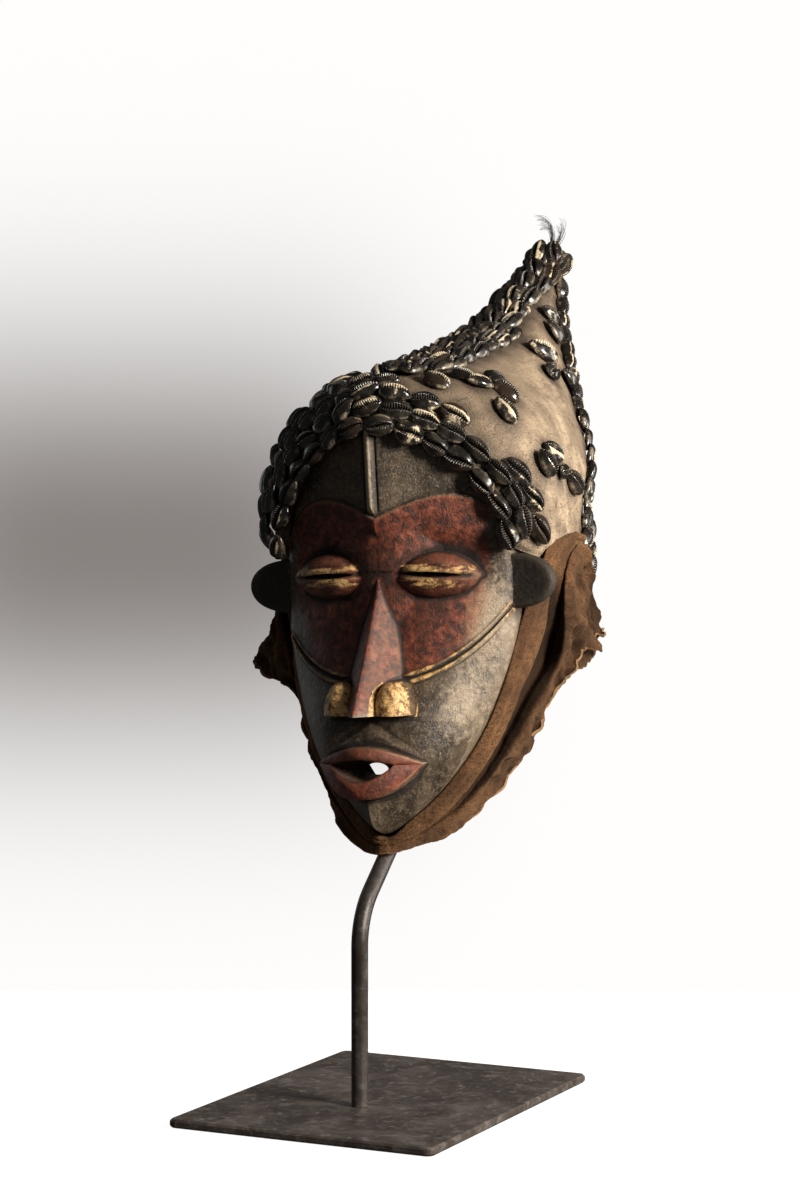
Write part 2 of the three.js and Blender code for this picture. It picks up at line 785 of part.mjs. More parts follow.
// Lays shells along a path of [up, round] points. Each overlaps the one before it; the row begins at
// its first free place and ends where it meets other shells.
function shellRow(path, pitch, seed, scale = 1) {
  const points = path.map((place) => hoodPoint(...place));
  const runs = [0];
  points.slice(1).forEach((point, i) => runs.push(runs[i] + point.distanceTo(points[i])));
  const shellAtRun = (run, count) => {
    const i = Math.min(points.length - 1, Math.max(1, runs.findIndex((value) => value >= run)));
    const [up, round] = path[i];
    const normal = hoodNormal(up, round);
    const ahead = towardsTip(up, round);
    const heading = points[i].clone().sub(points[i - 1]);
    const turn = Math.atan2(heading.dot(normal.clone().cross(ahead)), heading.dot(ahead));
    return shellAt(up, round, turn + 0.1 * scatter(seed + 1.7 * count), scale);
  };
  const end = runs[runs.length - 1];
  let row = null;
  let last = -pitch / 2;
  for (let count = 0; last + pitch < end; count += 1) {
    let run = last + pitch;
    let next = shellAtRun(run, count);
    while (row && row.intersect(next).isEmpty()) {
      run -= 0.4;
      next = shellAtRun(run, count);
    }
    last = run;
    if (!laidShells || laidShells.intersect(next).isEmpty()) {
      row = row ? row.add(next) : next;
    } else if (row) {
      break;
    }
  }
  takeShells(row);
  return toGeometry(row);
}

const bandRows = [3, 17, 31];
const bandPitch = 17.8;
const bandEnd = 3.1;

function bandPath(distance) {
  const path = [];
  for (let round = -bandEnd; round <= bandEnd; round += 0.01) {
    path.push([upForDistance(round, distance), round]);
  }
  return path;
}

const crestOffsets = [0, 14.2, -14.2];
const crestPitch = 17.8;
const crestStart = 48;
const crestEndUp = 0.985;

function crestPath(offset) {
  const path = [];
  for (let up = upForDistance(0, crestStart + Math.abs(offset) / 2); up <= crestEndUp; up += 0.004) {
    path.push([up, roundForOffset(up, 0, offset)]);
  }
  return path;
}

const seamLine = 5.72;
const seamOffsets = [0, -13.2];
const seamScale = 0.92;
const seamPitch = 16.4;
const seamEndUp = 0.93;

function seamPath(side, offset) {
  const path = [];
  for (let up = 0.03; up <= seamEndUp; up += 0.004) {
    path.push([up, side * roundForOffset(up, seamLine, offset)]);
  }
  return path;
}

// Loose shells and small bunches on the sides of the hood: [up, round, turn in degrees, scale]
const looseShells = [
  [[0.345, 0.52, 74, 1.05]],
  [[0.405, 0.66, 78, 0.95], [0.385, 0.86, 116, 0.9], [0.445, 0.98, 62, 0.9], [0.41, 1.18, 66, 1.05]],
  [[0.335, 1.3, 78, 1]],
  [[0.635, 1.36, 114, 1.2], [0.61, 1.74, 160, 1], [0.67, 2.42, 102, 1]],
  [[0.765, 1.6, 100, 0.8], [0.735, 1.8, 82, 0.85]],
  [[0.325, 2.08, 90, 1]],
  [[0.375, 2.14, 114, 0.95], [0.4, 2.42, 150, 0.9], [0.43, 2.74, 124, 0.95]],
];

// The shells of a bunch touch: each is drawn towards the first until it meets the ones before it
function looseBunch(places, side) {
  const [[firstUp, firstRound]] = places;
  let bunch = null;
  for (const [up, round, degrees, scale] of places) {
    const turn = side * THREE.MathUtils.degToRad(degrees);
    let next = shellAt(up, side * round, turn, scale);
    for (let draw = 0.04; bunch && bunch.intersect(next).isEmpty(); draw += 0.04) {
      next = shellAt(mix(up, firstUp, draw), side * mix(round, firstRound, draw), turn, scale);
    }
    bunch = bunch ? bunch.add(next) : next;
  }
  takeShells(bunch);
  return toGeometry(bunch);
}

// Neck cloth: fixed along the mask's edge from the chin to the ears, then outside the hood's lower edge.
// Each line goes [fixed edge, middle, free edge]; lines run from the chin round to the rear corner.
const clothGap = 0.8;

// A point just outside the wood's edge
function besideWood(side, z, y) {
  const step = 0.5;
  const slope = (faceHalf(z + step) - faceHalf(z - step)) / (2 * step);
  const away = (clothThickness / 2 + clothGap) / Math.hypot(1, slope);
  return [side * (faceHalf(z) + away), y, z - slope * away];
}

const clothChin = [[0, -4, 160.6], [0, -6, 156], [0, -8, 152]];
const clothRight = [
  [besideWood(1, 172, -2), [17, 4, 162], [13, 6, 154.5]],
  [besideWood(1, 190, 6), [37, 20, 177], [35, 32, 164]],
  [besideWood(1, 219, 15), [57, 37, 205], [50, 60, 190]],
  [besideWood(1, 252, 22), [71, 53, 239], [64, 87, 220]],
  [besideWood(1, 288, 34.5), [81, 74, 267], [76, 108, 241]],
  [[86, 44, 320], [89, 84, 290], [87, 129, 256]],
  [[90.5, 76, 331], [90, 104, 300], [90, 134, 266]],
  [[87.5, 107, 331], [87, 121, 303], [88, 136, 277]],
];
const clothLeft = [
  [besideWood(-1, 172, -2), [-16, 1, 162], [-14, 0, 155]],
  [besideWood(-1, 190, 6), [-40, 12, 182], [-37, 9, 171]],
  [besideWood(-1, 219, 15), [-61, 24, 208], [-58, 30, 196]],
  [besideWood(-1, 252, 22), [-74, 36, 237], [-75, 41, 223]],
  [besideWood(-1, 288, 34.5), [-84, 42, 268], [-88, 44, 246]],
  [[-86, 44, 320], [-97, 52, 288], [-108, 47, 256]],
  [[-90.5, 76, 331], [-104, 68, 300], [-118, 52, 268]],
  [[-84, 122, 328], [-95, 112, 308], [-108, 80, 290]],
];
const clothLines = [...clothLeft.reverse(), clothChin, ...clothRight];
const clothReach = clothRight.length;
const clothRowsPerLine = 2;
const clothColumns = 4;
const clothFold = 4;

function clothPoint(at, across) {
  const place = at + clothReach;
  const last = clothLines.length - 1;
  const i = Math.min(last - 1, Math.max(0, Math.floor(place)));
  const pick = (index, stop, axis) => {
    if (index < 0) {
      return 2 * clothLines[0][stop][axis] - clothLines[1][stop][axis];
    }
    if (index > last) {
      return 2 * clothLines[last][stop][axis] - clothLines[last - 1][stop][axis];
    }
    return clothLines[index][stop][axis];
  };
  const value = (axis) => {
    const stops = [0, 1, 2].map((stop) => {
      const around = [i - 1, i, i + 1, i + 2].map((index) => pick(index, stop, axis));
      return blendFour(...around, place - i);
    });
    const bend = 4 * across * (1 - across);
    return mix(stops[0], stops[2], across) + bend * (stops[1] - (stops[0] + stops[2]) / 2);
  };
  return new THREE.Vector3(value(0), value(1), value(2));
}

function clothFoldedPoint(at, across) {
  const step = 0.02;
  const alongEdge = clothPoint(at + step, across).sub(clothPoint(at - step, across));
  const alongDrop = clothPoint(at, Math.min(1, across + step)).sub(clothPoint(at, Math.max(0, across - step)));
  const normal = alongEdge.cross(alongDrop).normalize();
  const wide = smooth(3, 5.5, Math.abs(at));
  const fold = clothFold * wide * smooth(0.15, 0.9, across) * Math.sin(4.2 * at);
  return { point: clothPoint(at, across).addScaledVector(normal, fold), normal };
}

function neckCloth() {
  const rows = 2 * clothReach * clothRowsPerLine;
  const vertices = [];
  const triangles = [];
  for (const shift of [-clothThickness / 2, clothThickness / 2]) {
    for (let row = 0; row <= rows; row += 1) {
      for (let column = 0; column <= clothColumns; column += 1) {
        const at = mix(-clothReach, clothReach, row / rows);
        const { point, normal } = clothFoldedPoint(at, column / clothColumns);
        vertices.push(point.addScaledVector(normal, shift).toArray());
      }
    }
  }
  const width = clothColumns + 1;
  const layer = (rows + 1) * width;
  const at = (row, column) => row * width + column;
  for (let row = 0; row < rows; row += 1) {
    for (let column = 0; column < clothColumns; column += 1) {
      const a = at(row, column);
      const b = at(row, column + 1);
      const c = at(row + 1, column + 1);
      const d = at(row + 1, column);
      triangles.push([a, b, c], [a, c, d]);
      triangles.push([a + layer, c + layer, b + layer], [a + layer, d + layer, c + layer]);
    }
  }
  const border = [];
  for (let column = 0; column < clothColumns; column += 1) {
    border.push(at(0, column));
  }
  for (let row = 0; row < rows; row += 1) {
    border.push(at(row, clothColumns));
  }
  for (let column = clothColumns; column > 0; column -= 1) {
    border.push(at(rows, column));
  }
  for (let row = rows; row > 0; row -= 1) {
    border.push(at(row, 0));
  }
  border.forEach((a, i) => {
    const b = border[(i + 1) % border.length];
    triangles.push([a, b + layer, b], [a, a + layer, b + layer]);
  });
  return named('neck_cloth', meshData(vertices, triangles), cloth);
}

// Hair tuft: a few bent strands rising from the hood's tip
const hairRoot = new THREE.Vector3(hoodLean, 251, 529);
const hairTips = [[-6, 232, 546], [2, 246, 543], [9, 264, 546], [-1, 280, 537]];

function hairTuft() {
  const strands = hairTips.map(([x, y, z], i) => {
    const end = new THREE.Vector3(hoodLean + x * 0.6, y, z);
    const middle = hairRoot.clone().lerp(end, 0.5).add(new THREE.Vector3(0, 0.12 * (252 - y), 3));
    const path = new THREE.QuadraticBezierCurve3(hairRoot, middle, end);
    const half = 0.7 - 0.05 * i;
    const section = new THREE.Shape([
      new THREE.Vector2(-half, -half), new THREE.Vector2(half, -half), new THREE.Vector2(0, half),
    ]);
    return new THREE.ExtrudeGeometry(section, { steps: 3, extrudePath: path });
  });
  const knot = new THREE.SphereGeometry(2.6, 6, 4).translate(hairRoot.x, hairRoot.y, hairRoot.z + 2.4);
  return named('hair_tuft', joinAll([knot, ...strands]), hair);
}

// Stand

function circleShape(diameter, sides) {
  const points = Array.from({ length: sides }, (_, i) => {
    const angle = (2 * Math.PI * i) / sides;
    return new THREE.Vector2((Math.cos(angle) * diameter) / 2, (Math.sin(angle) * diameter) / 2);
  });
  return new THREE.Shape(points);
}

function basePlate() {
  const x = plateWidth / 2 - plateBevel;
  const y = plateDepth / 2 - plateBevel;
  const r = plateCorner;
  const shape = new THREE.Shape();
  shape.moveTo(-x + r, -y);
  shape.lineTo(x - r, -y);
  shape.absarc(x - r, -y + r, r, -Math.PI / 2, 0);
  shape.absarc(x - r, y - r, r, 0, Math.PI / 2);
  shape.absarc(-x + r, y - r, r, Math.PI / 2, Math.PI);
  shape.absarc(-x + r, -y + r, r, Math.PI, 1.5 * Math.PI);
  const geometry = new THREE.ExtrudeGeometry(shape, {
    depth: plateThickness - 2 * plateBevel,
    bevelThickness: plateBevel,
    bevelSize: plateBevel,
    bevelSegments: 1,
    curveSegments: 2,
  });
  return named('base_plate', geometry.translate(0, 0, plateBevel), steel);
}

// The rod's centre line: straight up, one bend back, a straight lean, one bend up to the stem
function rodPath() {
  const path = new THREE.CurvePath();
  const at = (y, z) => new THREE.Vector3(0, y, z);
  const foot = at(rodFootY, plateThickness + seatGap);
  const lowBend = at(rodFootY, rodStraightTop);
  const turn = (start, radius, from, to, sign) => {
    const steps = 6;
    let last = start;
    const centre = at(start.y + sign * radius * Math.cos(from), start.z - sign * radius * -Math.sin(from));
    for (let i = 1; i <= steps; i += 1) {
      const angle = mix(from, to, i / steps);
      const next = at(centre.y - sign * radius * Math.cos(angle), centre.z + sign * radius * Math.sin(angle));
      path.add(new THREE.LineCurve3(last, next));
      last = next;
    }
    return last;
  };
  path.add(new THREE.LineCurve3(foot, lowBend));
  const leanStart = turn(lowBend, rodBendRadius, 0, rodLean, 1);
  const bendBack = stemBendRadius * (1 - Math.cos(rodLean));
  const leanRun = (stemY - bendBack - leanStart.y) / Math.sin(rodLean);
  const leanEnd = leanStart.clone().add(at(leanRun * Math.sin(rodLean), leanRun * Math.cos(rodLean)));
  path.add(new THREE.LineCurve3(leanStart, leanEnd));
  let last = leanEnd;
  for (let i = 1; i <= 6; i += 1) {
    const angle = rodLean * (1 - i / 6);
    const next = at(
      stemY - stemBendRadius * (1 - Math.cos(angle)),
      leanEnd.z + stemBendRadius * (Math.sin(rodLean) - Math.sin(angle)),
    );
    path.add(new THREE.LineCurve3(last, next));
    last = next;
  }
  path.add(new THREE.LineCurve3(last, at(stemY, stemTop)));
  return path;
}

function standRod() {
  const geometry = new THREE.ExtrudeGeometry(circleShape(rodDiameter, 8), {
    steps: 24,
    extrudePath: rodPath(),
  });
  return named('stand_rod', geometry, steel);
}

// The cradle: a bar across the rod that bears on the flat back rim of the mask
function crossbar() {
  const geometry = new THREE.CylinderGeometry(crossbarDiameter / 2, crossbarDiameter / 2, 2 * crossbarHalfLength, 10);
  geometry.rotateZ(Math.PI / 2);
  const y = rimY(crossbarZ) + seatGap + crossbarDiameter / 2;
  return named('stand_crossbar', geometry.translate(0, y, crossbarZ), steel);
}

const tilt = new THREE.Group();
tilt.position.z = maskPivotZ;
tilt.rotation.y = -maskRoll;
const mask = new THREE.Group();
mask.position.z = -maskPivotZ;
tilt.add(mask);
const bed = [faceMask(), hideHood(), neckCloth()];
shellBed.solid = bed.map((node) => toSolid(node.geometry)).reduce((whole, next) => whole.add(next));
mask.add(...bed, hairTuft());
bandRows.forEach((distance, i) => {
  const row = shellRow(bandPath(distance), bandPitch, distance);
  mask.add(named(`face_band_cowries_${i + 1}`, row, shell));
});
crestOffsets.forEach((offset, i) => {
  mask.add(named(`crest_cowries_${i + 1}`, shellRow(crestPath(offset), crestPitch, offset), shell));
});
[1, -1].forEach((side) => {
  const sideName = side > 0 ? 'right' : 'left';
  seamOffsets.forEach((offset, i) => {
    const row = shellRow(seamPath(side, offset), seamPitch, offset, seamScale);
    mask.add(named(`rear_seam_cowries_${sideName}_${i + 1}`, row, shell));
  });
  looseShells.forEach((places, i) => {
    mask.add(named(`loose_cowries_${sideName}_${i + 1}`, looseBunch(places, side), shell));
  });
});

const stand = new THREE.Group();
stand.add(basePlate(), standRod(), crossbar());

const object = new THREE.Group();
object.add(stand, tilt);
export default object;
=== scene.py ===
"""Looks for a carved wooden face mask with a cowrie-trimmed hide hood and a neck cloth, on its stand.

Shapes are worked out in millimetres in the mask's own frame, where the mask is upright, and turned
into Blender's metres when a mesh is made. Names such as face_half or hood_points are the same forms
as in the solids, with finer carving.
"""

import math

import bpy
import numpy as np
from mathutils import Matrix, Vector


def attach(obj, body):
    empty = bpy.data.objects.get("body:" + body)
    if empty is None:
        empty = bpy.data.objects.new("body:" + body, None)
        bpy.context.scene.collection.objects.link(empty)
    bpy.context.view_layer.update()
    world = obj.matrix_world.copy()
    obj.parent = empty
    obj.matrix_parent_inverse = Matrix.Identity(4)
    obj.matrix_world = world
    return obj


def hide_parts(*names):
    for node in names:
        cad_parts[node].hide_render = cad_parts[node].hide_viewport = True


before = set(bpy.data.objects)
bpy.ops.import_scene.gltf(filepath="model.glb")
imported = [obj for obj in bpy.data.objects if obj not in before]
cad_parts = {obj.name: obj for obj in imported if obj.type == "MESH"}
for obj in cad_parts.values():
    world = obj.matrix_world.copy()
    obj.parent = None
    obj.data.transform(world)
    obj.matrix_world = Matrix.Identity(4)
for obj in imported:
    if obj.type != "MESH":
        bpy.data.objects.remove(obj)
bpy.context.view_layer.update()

MM = 0.001
MASK_ROLL = math.radians(2)
MASK_PIVOT_Z = 250.0


# Camera, light and floor


def aim(thing, target):
    thing.rotation_mode = "QUATERNION"
    thing.rotation_quaternion = (Vector(target) - thing.location).to_track_quat("-Z", "Y")


VIEW_AZIMUTH, VIEW_PITCH = math.radians(25.95), math.radians(2.77)
VIEW_PLACE, VIEW_LENS = (0.789, -1.600, 0.389), 90
LIGHTS_AIM = (0, 0.04, 0.33)
# Each light's name, place, size, watts and colour, and whether shiny surfaces mirror it
LIGHTS = [
    ("key", (1.45, -0.34, 0.74), (0.35, 0.5), 42, (1, 0.94, 0.86), True),
    ("side_strip", (1.1, 0.75, 0.45), (0.25, 0.9), 9, (1, 0.97, 0.93), True),
    ("left_sheen", (-1.5, 0.55, 0.5), (0.5, 1.0), 1.1, (0.96, 0.97, 1), True),
    ("back_fill", (-0.7, 2.0, 1.0), (1.2, 1.2), 24, (1, 0.97, 0.94), False),
    ("front_fill", (0.2, -2.2, 0.6), (0.8, 0.8), 0.6, (1, 0.96, 0.92), True),
]
WORLD_COLOUR, WORLD_STRENGTH = (1, 0.98, 0.96, 1), 0.055


def add_camera():
    data = bpy.data.cameras.new("camera")
    data.lens = VIEW_LENS
    data.sensor_width = 36
    camera = bpy.data.objects.new("camera", data)
    bpy.context.scene.collection.objects.link(camera)
    camera.location = VIEW_PLACE
    ahead = Vector((-math.sin(VIEW_AZIMUTH), math.cos(VIEW_AZIMUTH), -math.tan(VIEW_PITCH)))
    aim(camera, camera.location + ahead)
    bpy.context.scene.camera = camera


def add_lights():
    for name, place, size, watts, colour, mirrored in LIGHTS:
        data = bpy.data.lights.new(name, "AREA")
        data.shape = "RECTANGLE"
        data.size, data.size_y = size
        data.energy = watts
        data.color = colour
        light = bpy.data.objects.new(name, data)
        bpy.context.scene.collection.objects.link(light)
        light.location = place
        aim(light, LIGHTS_AIM)
        light.visible_glossy = mirrored
    world = bpy.data.worlds.new("world")
    bpy.context.scene.world = world
    world.use_nodes = True
    background = world.node_tree.nodes["Background"]
    background.inputs["Color"].default_value = WORLD_COLOUR
    background.inputs["Strength"].default_value = WORLD_STRENGTH


class Wire:
    """A node's output, which can be added, subtracted and multiplied."""

    def __init__(self, nodes, socket):
        self.nodes = nodes
        self.socket = socket

    def __add__(self, other):
        return self.nodes.math("ADD", self, other)

    def __sub__(self, other):
        return self.nodes.math("SUBTRACT", self, other)

    def __mul__(self, other):
        return self.nodes.math("MULTIPLY", self, other)

    __radd__, __rmul__ = __add__, __mul__


class Nodes:
    """A new material, with a short way to write its nodes."""

    def __init__(self, name):
        self.material = bpy.data.materials.new(name)
        self.material.use_nodes = True
        self.tree = self.material.node_tree
        self.tree.nodes.clear()

    def add(self, kind, inputs=None, **settings):
        node = self.tree.nodes.new("ShaderNode" + kind)
        for key, value in settings.items():
            setattr(node, key, value)
        for key, value in (inputs or {}).items():
            self.put(node.inputs[key], value)
        return node

    def put(self, socket, value):
        if isinstance(value, Wire):
            self.tree.links.new(value.socket, socket)
        elif isinstance(value, tuple) and socket.type == "RGBA":
            socket.default_value = (*value, 1)
        else:
            socket.default_value = value

    def wire(self, kind, inputs=None, output=0, **settings):
        """The output of a new node."""
        return Wire(self, self.add(kind, inputs, **settings).outputs[output])

    def show(self, shader):
        """Ends the material with a shader."""
        self.add("OutputMaterial", {"Surface": shader})
        return self.material

    def surface(self, **inputs):
        """Ends the material with the Principled shader, with the sockets named in inputs."""
        sockets = {key.replace("_", " "): value for key, value in inputs.items()}
        return self.show(self.wire("BsdfPrincipled", sockets))

    def math(self, operation, a, b=0.0):
        return self.wire("Math", {0: a, 1: b}, operation=operation)

    def clamp(self, a):
        return self.wire("Clamp", {"Value": a})

    def fade(self, value, low, high, to_low=0.0, to_high=1.0):
        """A smooth change from to_low to to_high while value goes from low to high."""
        inputs = {"Value": value, "From Min": low, "From Max": high, "To Min": to_low, "To Max": to_high}
        return self.wire("MapRange", inputs, interpolation_type="SMOOTHSTEP")

    def mix(self, factor, a, b, blend="MIX"):
        return self.wire("Mix", {0: factor, 6: a, 7: b}, 2, data_type="RGBA", blend_type=blend)

    def layers(self, colour, *layers):
        """Colours over one another: each shows where its pattern goes from low to high, up to a share."""
        for pattern, low, high, share, over in layers:
            colour = self.mix(self.fade(pattern, low, high, 0, share), colour, over)
        return colour

    def place(self, scale=None, rotation=(0, 0, 0)):
        """Places on the object in metres, turned and stretched if a scale is given."""
        where = self.wire("TexCoord", output="Object")
        if scale:
            where = self.wire("Mapping", {"Vector": where, "Rotation": rotation, "Scale": scale})
        return where

    def noise(self, where, scale, detail=4.0, roughness=0.55, distortion=0.0):
        inputs = {"Vector": where, "Scale": scale, "Detail": detail, "Roughness": roughness}
        return self.wire("TexNoise", {**inputs, "Distortion": distortion})

    def values(self, *names):
        """The mesh's attributes of these names."""
        return [self.wire("Attribute", output="Fac", attribute_name=name) for name in names]

    def parts(self, vector):
        node = self.add("SeparateXYZ", {0: vector})
        return [Wire(self, output) for output in node.outputs]

    def parts_of(self, name):
        return self.parts(self.wire("Attribute", output="Vector", attribute_name=name))

    def bump(self, height, distance, strength):
        return self.wire("Bump", {"Height": height, "Distance": distance, "Strength": strength})


FLOOR_SIZE, FLOOR_BACK, FLOOR_DROP = 2.4, 0.38, 0.0002
BACKDROP_RADIUS = 8
SHADE_ACROSS, SHADE_HEIGHT = -0.87, 0.1
SHADE_HALF_WIDTH, SHADE_HALF_HEIGHT = 0.98, 0.72


def backdrop_material():
    """White, with a soft grey shade behind and to the left of the mask."""
    nodes = Nodes("backdrop")
    x, y, z = nodes.parts(nodes.place())
    cos, sin = math.cos(VIEW_AZIMUTH), math.sin(VIEW_AZIMUTH)
    across, behind = x * cos + y * sin, y * cos - x * sin
    sideways = nodes.math("ABSOLUTE", (across - SHADE_ACROSS) * (1 / SHADE_HALF_WIDTH))
    upward = nodes.math("ABSOLUTE", (z - SHADE_HEIGHT) * (1 / SHADE_HALF_HEIGHT))
    spread = nodes.math("POWER", sideways, 4.0) + nodes.math("POWER", upward, 2.2)
    shade = nodes.math("EXPONENT", spread * -1.0) * nodes.fade(behind, 0, 4)
    colour = nodes.mix(shade, (1.0, 0.99, 0.98), (0.25, 0.225, 0.215))
    return nodes.show(nodes.wire("Emission", {"Color": colour, "Strength": 1.0}))


def floor_material():
    nodes = Nodes("floor")
    glow = nodes.wire("Emission", {"Color": (1.0, 0.985, 0.97), "Strength": 0.93})
    matte = nodes.wire("BsdfDiffuse", {"Color": (0.3, 0.3, 0.3)})
    return nodes.show(nodes.wire("AddShader", {0: glow, 1: matte}))


def add_stage():
    along = FLOOR_BACK - FLOOR_SIZE / 2
    place = (-along * math.sin(VIEW_AZIMUTH), along * math.cos(VIEW_AZIMUTH), -FLOOR_DROP)
    bpy.ops.mesh.primitive_plane_add(size=FLOOR_SIZE, location=place, rotation=(0, 0, VIEW_AZIMUTH))
    floor = bpy.context.object
    floor.name = "floor"
    floor.data.materials.append(floor_material())
    bpy.ops.mesh.primitive_uv_sphere_add(segments=64, ring_count=32, radius=BACKDROP_RADIUS)
    backdrop = bpy.context.object
    backdrop.name = "backdrop"
    backdrop.data.shade_smooth()
    backdrop.data.materials.append(backdrop_material())
    for piece in (floor, backdrop):
        piece.visible_diffuse = False
        piece.visible_glossy = False
        piece.visible_shadow = False


# Curves and small helpers


def mix(a, b, t):
    return a + (b - a) * t


def smooth(low, high, value):
    t = np.clip((value - low) / (high - low), 0, 1)
    return t * t * (3 - 2 * t)


def soft_min(a, b, blend):
    h = np.clip(0.5 + 0.5 * (b - a) / blend, 0, 1)
    return mix(b, a, h) - blend * h * (1 - h)


def bell(value, width, power=2):
    """1 at 0, and near 0 beyond the width."""
    return np.exp(-(np.abs(value / width) ** power))


def curve_through(pairs):
    """A smooth curve through (position, value) pairs."""
    at, height = np.array(pairs, float).T
    before, after = np.r_[0, np.arange(len(at) - 1)], np.r_[np.arange(1, len(at)), len(at) - 1]
    slope = (height[after] - height[before]) / (at[after] - at[before])

    def value(position):
        where = np.clip(position, at[0], at[-1])
        i = np.clip(np.searchsorted(at, where, side="left") - 1, 0, len(at) - 2)
        span = at[i + 1] - at[i]
        t = (where - at[i]) / span
        a, b, ta, tb = height[i], height[i + 1], slope[i] * span, slope[i + 1] * span
        return a + t * (ta + t * (3 * (b - a) - 2 * ta - tb + t * (2 * (a - b) + ta + tb)))

    return value


def four_weights(t):
    """Catmull-Rom weights of four points, for each t."""
    return 0.5 * np.stack([
        -t + 2 * t**2 - t**3,
        2 - 5 * t**2 + 3 * t**3,
        t + 4 * t**2 - 3 * t**3,
        -(t**2) + t**3,
    ])


def ripple(points, length, seed):
    """Smooth irregular waves between about -1 and 1, of a given length, over points."""
    rng = np.random.default_rng(seed)
    total = np.zeros(points.shape[:-1])
    for _ in range(7):
        direction = rng.normal(size=3)
        direction /= np.linalg.norm(direction)
        wave = 2 * math.pi / (length * rng.uniform(0.6, 1.6))
        total += np.sin(points @ direction * wave + rng.uniform(0, 2 * math.pi))
    return total / 3.2


def unit(vectors):
    return vectors / np.maximum(np.linalg.norm(vectors, axis=-1, keepdims=True), 1e-9)


def run_along(points):
    """The distance walked to each point along the first way."""
    steps = np.linalg.norm(np.diff(points, axis=0), axis=-1)
    return np.concatenate([0 * steps[:1], np.cumsum(steps, axis=0)])


def with_ends(points, axis=0):
    """The points with one more at each end, straight on."""
    first, second, before, last = (np.take(points, [i], axis) for i in (0, 1, -2, -1))
    return np.concatenate([2 * first - second, points, 2 * last - before], axis)


def rolled(points, angle):
    """Points leaned sideways, as the whole mask leans on its stand."""
    x, y, z = np.asarray(points, float).T
    cos, sin = math.cos(angle), math.sin(angle)
    up = z - MASK_PIVOT_Z
    return np.stack([x * cos - up * sin, y, x * sin + up * cos + MASK_PIVOT_Z], axis=1)


def grid_faces(rows, columns, wrap_columns=False):
    """Quads between the points of a grid, with the second way as the inner one."""
    row, column = np.meshgrid(np.arange(rows - 1), np.arange(columns - (not wrap_columns)), indexing="ij")
    near, far, after = row * columns, (row + 1) * columns, (column + 1) % columns
    return np.stack([near + column, near + after, far + after, far + column], axis=-1).reshape(-1, 4)


def tube_faces(rings, sides, flipped=False):
    """Faces through rings of points, with a cap on both ends."""
    last = (rings - 1) * sides
    faces = grid_faces(rings, sides, wrap_columns=True).tolist()
    faces += [list(range(sides))[::-1], list(range(last, last + sides))]
    return [face[::-1] for face in faces] if flipped else faces


def make_mesh(name, points, faces, attributes=None, in_mask=True):
    """A mesh object from points in millimetres and lists of corners."""
    placed = rolled(points, MASK_ROLL) if in_mask else np.asarray(points, float)
    mesh = bpy.data.meshes.new(name)
    mesh.from_pydata((placed * MM).tolist(), [], [list(map(int, f)) for f in faces])
    mesh.validate()
    piece = bpy.data.objects.new(name, mesh)
    bpy.context.scene.collection.objects.link(piece)
    for key, values in (attributes or {}).items():
        set_attribute(mesh, key, values)
    return piece


def set_attribute(mesh, name, values):
    values = np.asarray(values, np.float32)
    if values.ndim == 2:
        mesh.attributes.new(name, "FLOAT_VECTOR", "POINT").data.foreach_set("vector", values.ravel())
    else:
        mesh.attributes.new(name, "FLOAT", "POINT").data.foreach_set("value", values)


def finish_piece(piece, material, replaces=(), crease=None):
    """Rides on the body, stands for its solids, and is shaded smooth but for creases above an angle."""
    piece.data.materials.clear()
    piece.data.materials.append(material)
    piece.data.shade_smooth()
    if crease is not None:
        piece.data.set_sharp_from_angle(angle=math.radians(crease))
    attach(piece, "root")
    if replaces:
        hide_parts(*replaces)
    return piece


def vectors_of(items, name):
    vectors = np.empty(len(items) * 3, np.float32)
    items.foreach_get(name, vectors)
    return vectors.reshape(-1, 3).astype(float)


def hollowness(mesh, rounds):
    """How far each point lies below its surroundings, in millimetres: above 0 in a hollow."""
    points = vectors_of(mesh.vertices, "co") / MM
    edges = np.empty(len(mesh.edges) * 2, np.int32)
    mesh.edges.foreach_get("vertices", edges)
    a, b = edges.reshape(-1, 2).T
    count = np.bincount(np.r_[a, b], minlength=len(points))[:, None]

    def neighbours_sum(values):
        return np.bincount(a, values[b], len(points)) + np.bincount(b, values[a], len(points))

    level = points.copy()
    for _ in range(rounds):
        total = np.stack([neighbours_sum(values) for values in level.T], axis=1)
        level = 0.5 * level + 0.5 * total / np.maximum(count, 1)
    return np.einsum("ij,ij->i", level - points, vectors_of(mesh.vertex_normals, "vector"))


# Face

FACE_HALF_WIDTH = 75.5
FACE_WIDEST_Z = 310.0
FACE_CHIN_Z = 163.0
FACE_CROWN_Z = 412.0
WOOD_WALL = 11.0
RIM_WIDTH = 9.0
EDGE_ROUND = 6.0


def face_half(z):
    up = np.clip((z - FACE_WIDEST_Z) / (FACE_CROWN_Z - FACE_WIDEST_Z), 0, 1)
    down = np.clip((FACE_WIDEST_Z - z) / (FACE_WIDEST_Z - FACE_CHIN_Z), 0, 1)
    return FACE_HALF_WIDTH * (1 - up**2.9) ** 0.5 * (1 - down**2.2) ** 0.78


